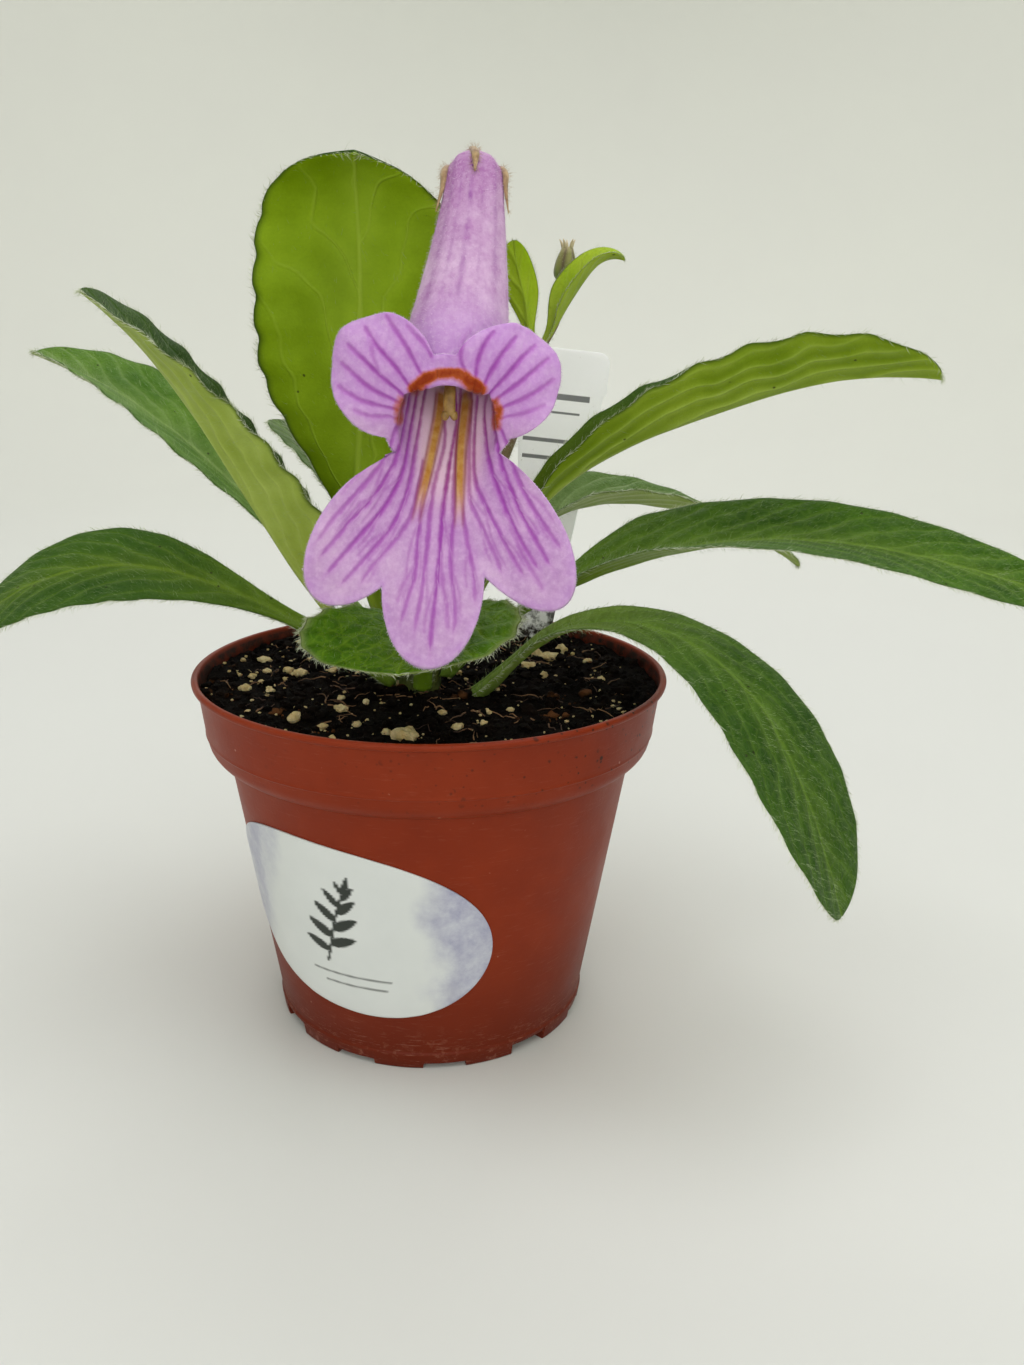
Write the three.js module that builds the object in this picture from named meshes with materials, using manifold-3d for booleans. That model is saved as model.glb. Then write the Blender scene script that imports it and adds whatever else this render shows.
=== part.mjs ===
// A potted moonlight primulina: a rosette of hairy leaves and one lilac flower in a round nursery pot.
// Millimetres, +Z up. The origin is the middle of the pot's base, on the surface that the pot stands on.
// The flower looks along -Y.

import * as THREE from 'three';
import { mergeVertices } from 'three/addons/utils/BufferGeometryUtils.js';
import Module from 'manifold-3d';

const wasm = await Module();
wasm.setup();

const DEG = Math.PI / 180;
const WELD = 0.012;

// Pot: radii are outer radii
const POT_HEIGHT = 61.2;
const LIP_RADIUS = 40;
const BAND_TOP_RADIUS = 39;
const BAND_BOTTOM_RADIUS = 38;
const BAND_BOTTOM_HEIGHT = 52;
const BODY_TOP_RADIUS = 34.4;
const BODY_TOP_HEIGHT = 47.7;
const BASE_RADIUS = 26.6;
const POT_WALL = 1.2;
const POT_FLOOR = 3.2;
const FOOT_WIDTH = 3.2;
const FOOT_STEP_HEIGHT = 2.8;
const FLOOR_PAD_RADIUS = 9;
const FOOT_RECESS = 1.8;
const FOOT_NOTCHES = 11;
const NOTCH_ANGLE = 15;
const FIRST_NOTCH = -85.6;
const DRAIN_HOLES = 5;
const DRAIN_HOLE_RADIUS = 2.6;
const DRAIN_HOLE_RING = 16;
const POT_SEGMENTS = 48;

// Soil
const SOIL_HEIGHT = 57.2;
const CLEARANCE = 0.3;
const SOIL_RINGS = 9;
const SOIL_RELIEF = 0.9;
const PERLITE_GRAINS = 22;

// Crown: the short stem that every leaf grows from
const CROWN_AXIS = new THREE.Vector2(-2, 0);
const CROWN_RADIUS = 3.6;
const CROWN_TOP = 65;
const CROWN_BOTTOM = 45;

// Leaves. Angles are in degrees at equal steps from the crown to the tip: heading is the compass angle from
// +X, rise is how steeply the midrib climbs, roll turns the blade about the midrib, and fold lifts each half
// towards the upper face. Fractions are of the length, or of the blade for widest.
const LEAVES = [
  { name: 'leaf_erect', height: 63, heading: [-132, -128, -106, -84], rise: [58, 69, 96, 91, 82, 10],
    roll: [6, -2, -6], fold: [29, -8, -10], length: 84, width: 33, stalk: 0.22,
    widest: 0.5, blunt: 3, teeth: 11, colour: 'paleLeaf' },
  { name: 'leaf_left_folded', height: 60.5, heading: [212, 204, 204, 198], rise: [36, 54, 59, 56, 39],
    roll: [-15, -10, -15], fold: [62, 46, 13], length: 77, width: 22, stalk: 0.2,
    widest: 0.3, blunt: 2.2, teeth: 9, colour: 'paleLeaf' },
  { name: 'leaf_left_back', height: 61.5, heading: [154, 159, 159, 163], rise: [46, 42, 40, 29, 17],
    roll: [-15, -13, -4], fold: [37, 26, 23], length: 85.5, width: 20.5, stalk: 0.2,
    widest: 0.56, blunt: 2.2, teeth: 9, colour: 'leaf' },
  { name: 'leaf_left_low', height: 58, heading: [182, 187, 186, 179], rise: [40, 30, 18, -16, -50],
    roll: [-40, -33, -19], fold: [9, 6, -3], length: 78, width: 18.6, stalk: 0.24,
    widest: 0.6, blunt: 2.2, teeth: 9, colour: 'leaf' },
  { name: 'leaf_front', height: 58.5, heading: [-84, -93, -108], rise: [69, 41, -2, -23],
    roll: [0, 3, 8], fold: [28, 22, 3], length: 40, width: 33.5, stalk: 0.3,
    widest: 0.72, blunt: 2.4, teeth: 9, colour: 'leaf' },
  { name: 'leaf_right_high', height: 62.5, heading: [-2, -3, -13, -28], rise: [69, 54, 25, 17, -5],
    roll: [39, 5, -20], fold: [40, 54, 19], length: 98, width: 23.5, stalk: 0.15,
    widest: 0.68, blunt: 2.2, teeth: 10, colour: 'paleLeaf' },
  { name: 'leaf_right_back', height: 60.5, heading: [41, 33, 24, 22], rise: [62, 36, -2, -19, -33],
    roll: [7, 7, 3], fold: [56, 31, 11], length: 99, width: 16, stalk: 0.15,
    widest: 0.35, blunt: 2.2, teeth: 9, colour: 'leaf' },
  { name: 'leaf_right_long', height: 59.6, heading: [-14, -10, -9, -9], rise: [51, 27, 6, -11, -18],
    roll: [-9, 17, 39], fold: [43, 23, 3], length: 112, width: 18.9, stalk: 0.14,
    widest: 0.29, blunt: 2.2, teeth: 10, colour: 'leaf' },
  { name: 'leaf_right_drooping', height: 57.8, heading: [-40, -29, -41, -35], rise: [33, 27, -19, -58, -73],
    roll: [22, 10, 1], fold: [59, 0, 12], length: 96, width: 22, stalk: 0.22,
    widest: 0.73, blunt: 2.2, teeth: 10, colour: 'leaf' },
  { name: 'leaf_small_back', height: 62.5, heading: [112, 130, 141], rise: [64, 48, 34, 22],
    roll: [0, 0, 0], fold: [35, 25, 12], length: 56.5, width: 14, stalk: 0.25,
    widest: 0.5, blunt: 2.2, teeth: 7, colour: 'leaf' },
];
const LEAF_START = 4.2;
const LEAF_FOOT_REACH = 12;
const STALK_HALF_WIDTH = 1.6;
const STALK_THICKNESS = 2.4;
const STALK_FOLD = 0.4;
const BLADE_THICKNESS = 0.7;
const TOOTH_DEPTH = 0.024;
const MARGIN_WAVE = 0.05;
const TIP_HALF_WIDTH = 0.8;
const STALK_ROWS = 3;
const PLAIN_ROWS = 7;
const BLADE_COLUMNS = [-1, -0.52, 0, 0.52, 1];
const BRACT_COLUMNS = [-1, 0, 1];

// Flower: the face frame stands at the middle of the throat and looks out of it
const FACE_ORIGIN = new THREE.Vector3(2.1, -35, 104.7);
const FACE_PITCH = 5;
const FACE_COLUMNS = 44;
const FACE_COLUMNS_LOW = 0.3;
const LIMB_ROWS = 4;
const PETAL_THICKNESS = 0.7;
// Each lobe is an ellipse seen from the front: centre, long and short radius, and angle of the long one
const LOBES = [
  { centre: [-8.4, 6.3], radii: [8.1, 7.1], angle: 108 },
  { centre: [7.6, 5.6], radii: [7.9, 7.2], angle: 40 },
  { centre: [-10.4, -14], radii: [11.3, 6.4], angle: 232 },
  { centre: [-1.9, -21], radii: [11.4, 6.9], angle: 265 },
  { centre: [7.8, -13.2], radii: [13.2, 6.6], angle: 307 },
  { centre: [0, 1], radii: [8.8, 8], angle: 0 },
];
const MOUTH = { top: 6.6, side: 6.9, bottom: 10 };
const MOUTH_DEPTH = { top: 1, bottom: -3 };
// Tube rings from the calyx to the throat in the face frame: sideways, up, out, radius
const TUBE_RINGS = [
  [3.9, 33.6, -21, 2],
  [3.9, 34.3, -18.6, 3.1],
  [4, 33.4, -15.8, 3.8],
  [3.6, 28.5, -13.2, 4.3],
  [2.6, 19.5, -10.8, 5.7],
  [1.3, 10.5, -8, 7.1],
];
const THROAT_ROWS = 3;

// Flower stalk: paths of [x, y, z]
const STALK_PATH = [[-2, -1, 63], [-1, -3.4, 69], [3.4, -4, 80], [12.2, -3, 99.6], [16.2, -3, 114.5]];
const PEDICEL_PATH = [[15.6, -2.8, 111], [15, -2.2, 117.5], [13.4, -1.2, 122], [11.3, -0.6, 128],
  [8.6, -2, 133.5], [6.8, -6, 136], [6.1, -9.9, 136.3]];
const BUD_STALK_PATH = [[15.8, -2.8, 111.5], [18.2, -1, 115], [20, -0.4, 118.6], [20.6, -0.2, 123.7]];
const STALK_RADIUS = 1.25;
const PEDICEL_RADIUS = 0.95;
const BUD_STALK_RADIUS = 0.55;

// Bracts are small leaves that grow from the fork
const BRACTS = [
  { name: 'bract_left', root: [15.6, -3.4, 113.6], heading: [190, 190, 190], rise: [84, 80, 74, 88],
    roll: [82, 82, 82], fold: [30, 18, 5], length: 16.5, width: 5.4, stalk: 0.1, widest: 0.55, blunt: 2.2,
    teeth: 0 },
  { name: 'bract_right', root: [16.8, -3, 113.2], heading: [-4, -2, 0], rise: [62, 60, 56, 44, -20],
    roll: [30, 25, 10], fold: [62, 60, 30], length: 20.5, width: 6.6, stalk: 0.12, widest: 0.45, blunt: 2.2,
    teeth: 0 },
];
const BRACT_STALK_HALF_WIDTH = 0.8;

// Bud, calyx and what stands in the tube
const BUD_BASE = [20.6, -0.2, 124];
const BUD_LENGTH = 6.2;
const BUD_RADIUS = 1.45;
const SEPAL_ANGLES = [90, 18, 162, 234, 306];
const SEPAL_RADIUS = 0.55;
const STIGMA_RADIUS = 0.95;
const STYLE_RADIUS = 0.4;
// Middles of the style in the face frame, from the calyx to the stigma: sideways, up, out
const STYLE_PATH = [[3.9, 33.9, -20.4], [3.9, 33.2, -17], [3.6, 28.5, -12.6], [2.2, 16, -8.2], [1, 9, -4.6],
  [0.5, 5, -2], [0.3, 1.4, -1.2]];

// Plant label: a flat stake with a wider head, stuck in the soil behind the crown
const LABEL_PLACE = [19.6, 27.6, SOIL_HEIGHT];
const LABEL_LEAN_RIGHT = 5.4;
const LABEL_LEAN_BACK = 5;
const LABEL_HEIGHT = 56.4;
const LABEL_DEPTH = 8;
const LABEL_HEAD = 7.5;
const LABEL_HEAD_HALF_WIDTH = 8.6;
const LABEL_SHOULDER_HALF_WIDTH = 8;
const LABEL_SOIL_HALF_WIDTH = 2.9;
const LABEL_CORNER = 2;
const LABEL_THICKNESS = 0.7;

// Pot sticker: an oval on the body, in degrees round the pot and millimetres up it
const STICKER_FROM = -168;
const STICKER_TO = -72;
const STICKER_MIDDLE_HEIGHT = 25.8;
const STICKER_HALF_HEIGHT = 15.4;
const STICKER_SLOPE = -0.05;
const STICKER_THICKNESS = 0.3;
const STICKER_GAP = 0.15;

const colours = {
  pot: 0x8a3d2a,
  soil: 0x2a1f18,
  crown: 0x6f7a3a,
  leaf: 0x3f6b26,
  paleLeaf: 0x87a23c,
  stalk: 0x7a6a4a,
  bract: 0x7fa32b,
  sepal: 0xa08a63,
  petal: 0xc99fd6,
  stamen: 0xe8dfc4,
  pistil: 0x9a8f52,
  label: 0xf2f2ee,
  paper: 0xe9e7ee,
};

const plant = new THREE.Group();

function addPiece(name, geometry, colour, roughness) {
  const material = new THREE.MeshStandardMaterial({ color: colour, roughness, metalness: 0 });
  const mesh = new THREE.Mesh(geometry, material);
  mesh.name = name;
  plant.add(mesh);
  return mesh;
}

function solidOf(geometry) {
  const bare = geometry.clone();
  bare.deleteAttribute('normal');
  bare.deleteAttribute('uv');
  const merged = mergeVertices(bare, 1e-4);
  return new wasm.Manifold(new wasm.Mesh({
    numProp: 3,
    vertProperties: new Float32Array(merged.attributes.position.array),
    triVerts: new Uint32Array(merged.index.array),
  }));
}

// The surface of a cut solid, with corners that lie closer together than WELD made one
function geometryOf(solid) {
  const mesh = solid.getMesh();
  const raw = new THREE.BufferGeometry();
  raw.setAttribute('position', new THREE.BufferAttribute(new Float32Array(mesh.vertProperties), 3));
  raw.setIndex(new THREE.BufferAttribute(new Uint32Array(mesh.triVerts), 1));
  const geometry = mergeVertices(raw, WELD);
  const corners = geometry.index.array;
  const kept = new Map();
  for (let i = 0; i < corners.length; i += 3) {
    const [a, b, c] = corners.slice(i, i + 3);
    const key = [a, b, c].sort((x, y) => x - y).join();
    if (kept.has(key)) {
      kept.delete(key);
    } else if (a !== b && b !== c && c !== a) {
      kept.set(key, [a, b, c]);
    }
  }
  geometry.setIndex([...kept.values()].flat());
  geometry.computeVertexNormals();
  return geometry;
}

function geometryFrom(points, triangles) {
  const geometry = new THREE.BufferGeometry();
  geometry.setAttribute('position', new THREE.Float32BufferAttribute(points.flatMap((p) => p.toArray()), 3));
  geometry.setIndex(triangles);
  geometry.computeVertexNormals();
  return geometry;
}

// A repeatable random draw from 0 to 1
function seededDraw(seed) {
  let state = seed;
  return () => {
    state = (state * 1664525 + 1013904223) % 4294967296;
    return state / 4294967296;
  };
}

// A smooth curve through values that stand at equal steps from t = 0 to t = 1
function track(values, t) {
  const last = values.length - 1;
  const place = Math.min(Math.max(t, 0), 1) * last;
  const i = Math.min(Math.floor(place), last - 1);
  const f = place - i;
  const b = values[i];
  const c = values[i + 1];
  const a = i > 0 ? values[i - 1] : 2 * b - c;
  const d = i + 2 <= last ? values[i + 2] : 2 * c - b;
  return 0.5 * (2 * b + (c - a) * f + (2 * a - 5 * b + 4 * c - d) * f * f + (3 * b - a - 3 * c + d) * f ** 3);
}

// A closed solid around a grid of middle-surface points: rows[i][j] with its half thickness halves[i][j].
// With wrap on, the last column joins the first, and the solid is a tube with open ends.
function sheet(rows, halves, wrap) {
  const rowCount = rows.length;
  const columnCount = rows[0].length;
  const spans = wrap ? columnCount : columnCount - 1;
  const normals = rows.map((row) => row.map(() => new THREE.Vector3()));
  for (let i = 0; i < rowCount - 1; i += 1) {
    for (let j = 0; j < spans; j += 1) {
      const k = (j + 1) % columnCount;
      const along = rows[i + 1][k].clone().sub(rows[i][j]);
      const across = rows[i][k].clone().sub(rows[i + 1][j]);
      const normal = along.cross(across).normalize();
      normals[i][j].add(normal);
      normals[i][k].add(normal);
      normals[i + 1][j].add(normal);
      normals[i + 1][k].add(normal);
    }
  }
  const points = [];
  for (const side of [1, -1]) {
    rows.forEach((row, i) => row.forEach((point, j) => {
      const half = halves(i, j, side);
      points.push(point.clone().addScaledVector(normals[i][j].normalize(), side * half));
    }));
  }
  const triangles = [];
  const under = rowCount * columnCount;
  const at = (i, j) => i * columnCount + (j % columnCount);
  const quad = (a, b, c, d) => triangles.push(a, b, c, a, c, d);
  for (let i = 0; i < rowCount - 1; i += 1) {
    for (let j = 0; j < spans; j += 1) {
      quad(at(i, j), at(i + 1, j), at(i + 1, j + 1), at(i, j + 1));
      triangles.push(under + at(i, j), under + at(i + 1, j + 1), under + at(i + 1, j));
      triangles.push(under + at(i, j), under + at(i, j + 1), under + at(i + 1, j + 1));
    }
  }
  for (let j = 0; j < spans; j += 1) {
    quad(at(0, j), at(0, j + 1), under + at(0, j + 1), under + at(0, j));
    quad(at(rowCount - 1, j + 1), at(rowCount - 1, j), under + at(rowCount - 1, j), under + at(rowCount - 1, j + 1));
  }
  if (!wrap) {
    const end = columnCount - 1;
    for (let i = 0; i < rowCount - 1; i += 1) {
      quad(at(i + 1, 0), at(i, 0), under + at(i, 0), under + at(i + 1, 0));
      quad(at(i, end), at(i + 1, end), under + at(i + 1, end), under + at(i, end));
    }
  }
  return geometryFrom(points, triangles);
}

// A closed solid through rings of points, with a flat fan on each end
function loft(rings) {
  const sides = rings[0].length;
  const points = rings.flat();
  const triangles = [];
  const at = (i, j) => i * sides + (j % sides);
  for (let i = 0; i < rings.length - 1; i += 1) {
    for (let j = 0; j < sides; j += 1) {
      triangles.push(at(i, j), at(i, j + 1), at(i + 1, j + 1));
      triangles.push(at(i, j), at(i + 1, j + 1), at(i + 1, j));
    }
  }
  for (let j = 1; j < sides - 1; j += 1) {
    triangles.push(at(0, 0), at(0, j + 1), at(0, j));
    triangles.push(at(rings.length - 1, 0), at(rings.length - 1, j), at(rings.length - 1, j + 1));
  }
  return geometryFrom(points, triangles);
}

// A round stem along a path of [x, y, z] points, with a radius for each place t along it
function stem(path, radiusAt, sides, steps) {
  const curve = new THREE.CatmullRomCurve3(path.map((p) => new THREE.Vector3(...p)));
  const frames = curve.computeFrenetFrames(steps, false);
  const rings = [];
  for (let i = 0; i <= steps; i += 1) {
    const centre = curve.getPointAt(i / steps);
    const radius = radiusAt(i / steps);
    const ring = [];
    for (let j = 0; j < sides; j += 1) {
      const angle = (j / sides) * 2 * Math.PI;
      ring.push(centre.clone()
        .addScaledVector(frames.normals[i], radius * Math.cos(angle))
        .addScaledVector(frames.binormals[i], radius * Math.sin(angle)));
    }
    rings.push(ring);
  }
  return loft(rings);
}

// A turned solid: the profile is a list of [radius, height] points, from bottom to top along the outside
function turned(profile, segments) {
  const geometry = new THREE.LatheGeometry(profile.map(([r, z]) => new THREE.Vector2(r, z)), segments);
  geometry.rotateX(90 * DEG);
  return geometry;
}

function arcPoints(centre, radius, from, to, steps) {
  const points = [];
  for (let i = 0; i <= steps; i += 1) {
    const angle = (from + ((to - from) * i) / steps) * DEG;
    points.push([centre[0] + radius * Math.cos(angle), centre[1] + radius * Math.sin(angle)]);
  }
  return points;
}

// The outer radius of the pot's tapering body at a height
function bodyRadius(z) {
  return BASE_RADIUS + ((BODY_TOP_RADIUS - BASE_RADIUS) * z) / BODY_TOP_HEIGHT;
}

function innerWall() {
  return [
    [bodyRadius(POT_FLOOR) - POT_WALL, POT_FLOOR],
    [BODY_TOP_RADIUS - POT_WALL, BODY_TOP_HEIGHT + 0.4],
    [BAND_BOTTOM_RADIUS - POT_WALL, BAND_BOTTOM_HEIGHT + 0.6],
  ];
}

function pot() {
  const lip = arcPoints([LIP_RADIUS - 0.5, POT_HEIGHT - 0.5], 0.5, -70, 90, 4);
  const outside = [
    [FLOOR_PAD_RADIUS, 0],
    [FLOOR_PAD_RADIUS + 0.6, FOOT_RECESS],
    [BASE_RADIUS - FOOT_WIDTH - 0.3, FOOT_RECESS],
    [BASE_RADIUS - FOOT_WIDTH, 0],
    [BASE_RADIUS + 0.3, 0],
    [bodyRadius(FOOT_STEP_HEIGHT) + 0.3, FOOT_STEP_HEIGHT],
    [bodyRadius(FOOT_STEP_HEIGHT + 0.2), FOOT_STEP_HEIGHT + 0.3],
    [BODY_TOP_RADIUS, BODY_TOP_HEIGHT],
    [BODY_TOP_RADIUS + 1.9, BODY_TOP_HEIGHT + 0.8],
    [BODY_TOP_RADIUS + 3.1, BODY_TOP_HEIGHT + 2.2],
    [BAND_BOTTOM_RADIUS, BAND_BOTTOM_HEIGHT],
    [BAND_TOP_RADIUS, POT_HEIGHT - 1],
  ];
  const inside = [
    [BAND_TOP_RADIUS - POT_WALL, POT_HEIGHT - 0.5],
    ...innerWall().reverse(),
    [0, POT_FLOOR],
  ];
  const body = turned([[0, 0], ...outside, ...lip, [LIP_RADIUS - 1.6, POT_HEIGHT], ...inside], POT_SEGMENTS);
  let solid = solidOf(body);
  const notchWidth = 2 * BASE_RADIUS * Math.sin((NOTCH_ANGLE / 2) * DEG);
  for (let i = 0; i < FOOT_NOTCHES; i += 1) {
    const depth = i % 2 ? FOOT_RECESS : FOOT_RECESS * 0.55;
    const notch = new THREE.BoxGeometry(FOOT_WIDTH + 3, notchWidth, 2 * depth);
    notch.translate(BASE_RADIUS - FOOT_WIDTH / 2, 0, 0);
    notch.rotateZ((FIRST_NOTCH + (360 * i) / FOOT_NOTCHES) * DEG);
    solid = solid.subtract(solidOf(notch));
  }
  for (let i = 0; i < DRAIN_HOLES; i += 1) {
    const hole = new THREE.CylinderGeometry(DRAIN_HOLE_RADIUS, DRAIN_HOLE_RADIUS, 3 * POT_FLOOR, 12);
    hole.rotateX(90 * DEG);
    hole.translate(DRAIN_HOLE_RING, 0, 0);
    hole.rotateZ((360 * i * DEG) / DRAIN_HOLES);
    solid = solid.subtract(solidOf(hole));
  }
  addPiece('pot', geometryOf(solid), colours.pot, 0.45);
}

// The crown is a short turned stem. With grow above zero this is the hole that it stands in.
function crownSolid(grow) {
  const stemProfile = [
    [0, CROWN_BOTTOM - grow],
    [1.4 + grow, CROWN_BOTTOM - grow],
    [2.6 + grow, SOIL_HEIGHT - 6],
    [CROWN_RADIUS + grow, SOIL_HEIGHT - 1],
    [CROWN_RADIUS + grow, CROWN_TOP - 3],
    [CROWN_RADIUS * 0.6 + grow, CROWN_TOP - 0.6],
    [0, CROWN_TOP + grow],
  ];
  const body = turned(stemProfile, 12);
  body.translate(CROWN_AXIS.x, CROWN_AXIS.y, 0);
  return solidOf(body);
}

// The half width of a leaf at t along its midrib
function leafHalfWidth(leaf, t) {
  const along = Math.min(Math.max((t - leaf.stalk) / (1 - leaf.stalk), 0), 1);
  const full = leaf.width / 2;
  const narrow = leaf.root ? BRACT_STALK_HALF_WIDTH : STALK_HALF_WIDTH;
  if (along < leaf.widest) {
    return narrow + (full - narrow) * (0.5 - 0.5 * Math.cos((Math.PI * along) / leaf.widest));
  }
  const past = (along - leaf.widest) / (1 - leaf.widest);
  return full * Math.sqrt(Math.max(1 - past ** leaf.blunt, 0));
}

// The midrib as steps with their directions: where it is, along it, sideways to the left, and up
function leafSpine(leaf, steps) {
  const heading = leaf.heading[0] * DEG;
  const place = leaf.root ? new THREE.Vector3(...leaf.root) : new THREE.Vector3(
    CROWN_AXIS.x + LEAF_START * Math.cos(heading),
    CROWN_AXIS.y + LEAF_START * Math.sin(heading),
    leaf.height,
  );
  const direction = (t) => {
    const h = track(leaf.heading, t) * DEG;
    const r = track(leaf.rise, t) * DEG;
    return new THREE.Vector3(Math.cos(r) * Math.cos(h), Math.cos(r) * Math.sin(h), Math.sin(r));
  };
  const spine = [];
  for (let i = 0; i <= steps; i += 1) {
    const t = i / steps;
    if (i > 0) {
      place.addScaledVector(direction(t - 0.5 / steps), leaf.length / steps);
    }
    const h = track(leaf.heading, t) * DEG;
    const roll = track(leaf.roll, t) * DEG;
    const side = new THREE.Vector3(-Math.sin(h), Math.cos(h), 0);
    const along = direction(t);
    const up = along.clone().cross(side);
    spine.push({
      place: place.clone(),
      side: side.clone().multiplyScalar(Math.cos(roll)).addScaledVector(up, Math.sin(roll)),
      up: up.clone().multiplyScalar(Math.cos(roll)).addScaledVector(side, -Math.sin(roll)),
    });
  }
  return spine;
}

// A point on the middle surface of a leaf: t from crown to tip, s from -1 at the right margin to 1 at the left
function leafPoint(leaf, spine, t, s, grow = 0) {
  const steps = spine.length - 1;
  const i = Math.max(Math.min(Math.floor(t * steps), steps - 1), 0);
  const f = t * steps - i;
  const place = spine[i].place.clone().lerp(spine[i + 1].place, f);
  const side = spine[i].side.clone().lerp(spine[i + 1].side, f);
  const up = spine[i].up.clone().lerp(spine[i + 1].up, f);
  const along = Math.max((t - leaf.stalk) / (1 - leaf.stalk), 0);
  const phase = 2 * Math.PI * leaf.teeth * along + (s > 0 ? 0.5 : 0);
  const blade = Math.min(along * 4, 1);
  const full = Math.max(leafHalfWidth(leaf, t), TIP_HALF_WIDTH);
  const half = full * (1 - blade * TOOTH_DEPTH * (1 + Math.cos(phase))) + grow;
  const fold = track(leaf.fold, t) * DEG * (STALK_FOLD + (1 - STALK_FOLD) * blade);
  const wave = blade * MARGIN_WAVE * full * Math.cos(phase + 1.2) * s * s;
  return place
    .addScaledVector(side, half * s * Math.cos(fold))
    .addScaledVector(up, half * Math.abs(s) * Math.sin(fold) + wave);
}

// Places along a leaf: a few on its stalk, then two for every tooth, closer together at the round tip
function leafStations(leaf) {
  const stations = [];
  for (let i = 0; i < STALK_ROWS; i += 1) {
    stations.push((leaf.stalk * i) / STALK_ROWS);
  }
  const rows = 2 * leaf.teeth || PLAIN_ROWS;
  for (let i = 0; i < rows; i += 1) {
    stations.push(leaf.stalk + ((1 - leaf.stalk) * i) / rows);
  }
  const last = (1 - leaf.stalk) / rows;
  stations.push(1 - 0.55 * last, 1 - 0.22 * last, 1);
  return stations;
}

function leafSolid(leaf, grow = 0) {
  const spine = leafSpine(leaf, 120);
  const stations = leafStations(leaf);
  stations[0] -= (2 * grow) / leaf.length;
  const columns = leaf.root ? BRACT_COLUMNS : BLADE_COLUMNS;
  const rows = stations.map((t) => columns.map((s) => leafPoint(leaf, spine, t, s, grow)));
  const middle = (columns.length - 1) / 2;
  const halves = (i, j, side) => {
    const t = stations[i];
    const stalk = Math.min(Math.max(1 - (t - leaf.stalk * 0.6) / (leaf.stalk * 0.9), 0), 1);
    const thickest = leaf.root ? BLADE_THICKNESS : STALK_THICKNESS;
    const thickness = BLADE_THICKNESS + (thickest - BLADE_THICKNESS) * stalk;
    const rib = j === middle && side < 0 ? (thickest / 3) * (1 - t) * (1 - stalk) : 0;
    return thickness / 2 + rib + grow;
  };
  return solidOf(sheet(rows, halves, false));
}

// Each leaf is cut clear of the crown and of the feet of the leaves before it. This gives back all of those
// together, grown by the clearance, so that the soil can be cut clear of them too.
function leaves() {
  let taken = crownSolid(CLEARANCE);
  for (const leaf of LEAVES) {
    const solid = leafSolid(leaf).subtract(taken);
    addPiece(leaf.name, geometryOf(solid), colours[leaf.colour], 0.6);
    const around = new THREE.SphereGeometry(LEAF_FOOT_REACH, 8, 6);
    around.translate(CROWN_AXIS.x, CROWN_AXIS.y, leaf.height);
    taken = taken.add(leafSolid(leaf, CLEARANCE).intersect(solidOf(around)));
  }
  return taken;
}

// The face frame: sideways (+X), up, and out of the throat
const faceSide = new THREE.Vector3(1, 0, 0);
const faceOut = new THREE.Vector3(0, -Math.cos(FACE_PITCH * DEG), Math.sin(FACE_PITCH * DEG));
const faceUp = new THREE.Vector3(0, Math.sin(FACE_PITCH * DEG), Math.cos(FACE_PITCH * DEG));

function onFace(a, b, out) {
  return FACE_ORIGIN.clone().addScaledVector(faceSide, a).addScaledVector(faceUp, b).addScaledVector(faceOut, out);
}

// How far a lobe's ellipse reaches from the throat's middle in a direction
function lobeReach(lobe, angle) {
  const c = Math.cos(lobe.angle * DEG);
  const s = Math.sin(lobe.angle * DEG);
  const turn = (x, y) => [(x * c + y * s) / lobe.radii[0], (y * c - x * s) / lobe.radii[1]];
  const [dx, dy] = turn(Math.cos(angle), Math.sin(angle));
  const [cx, cy] = turn(...lobe.centre);
  const a = dx * dx + dy * dy;
  const b = dx * cx + dy * cy;
  const under = b * b - a * (cx * cx + cy * cy - 1);
  return under < 0 ? 0 : (b + Math.sqrt(under)) / a;
}

function marginRadius(angle) {
  return Math.max(...LOBES.map((lobe) => lobeReach(lobe, angle)));
}

function mouthRadius(angle) {
  const c = Math.cos(angle) / MOUTH.side;
  const s = Math.sin(angle) / (Math.sin(angle) > 0 ? MOUTH.top : MOUTH.bottom);
  return 1 / Math.hypot(c, s);
}

// How far the mouth's edge stands out of the face plane
function mouthDepth(angle) {
  const upness = 0.5 + 0.5 * Math.sin(angle);
  return MOUTH_DEPTH.bottom + (MOUTH_DEPTH.top - MOUTH_DEPTH.bottom) * upness;
}

// The limb from the mouth's edge (w = 0) to the margin (w = 1)
function limbPoint(angle, w) {
  const mouth = mouthRadius(angle);
  const radius = mouth + (marginRadius(angle) - mouth) * w;
  const beyond = radius - mouth;
  const upness = Math.sin(angle);
  const upper = 1.6 * Math.sin(Math.min(beyond / 9, 1) * Math.PI * 0.6) - 0.035 * beyond * beyond;
  const lower = 0.5 * beyond - 0.0085 * beyond * beyond;
  const share = THREE.MathUtils.smoothstep(upness, -0.45, 0.35);
  const depth = mouthDepth(angle) + lower + (upper - lower) * share;
  return onFace(radius * Math.cos(angle), radius * Math.sin(angle), depth);
}

// A ring of the tube at place k in TUBE_RINGS, square to the tube, with its upper side towards the face
function tubePoint(k, angle) {
  const [a, b, out, radius] = TUBE_RINGS[k];
  const before = TUBE_RINGS[Math.max(k - 1, 0)];
  const after = TUBE_RINGS[Math.min(k + 1, TUBE_RINGS.length - 1)];
  const slope = Math.atan2(after[2] - before[2], before[1] - after[1]);
  const rise = radius * Math.sin(angle);
  return onFace(a + radius * Math.cos(angle), b + rise * Math.sin(slope), out + rise * Math.cos(slope));
}

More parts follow.
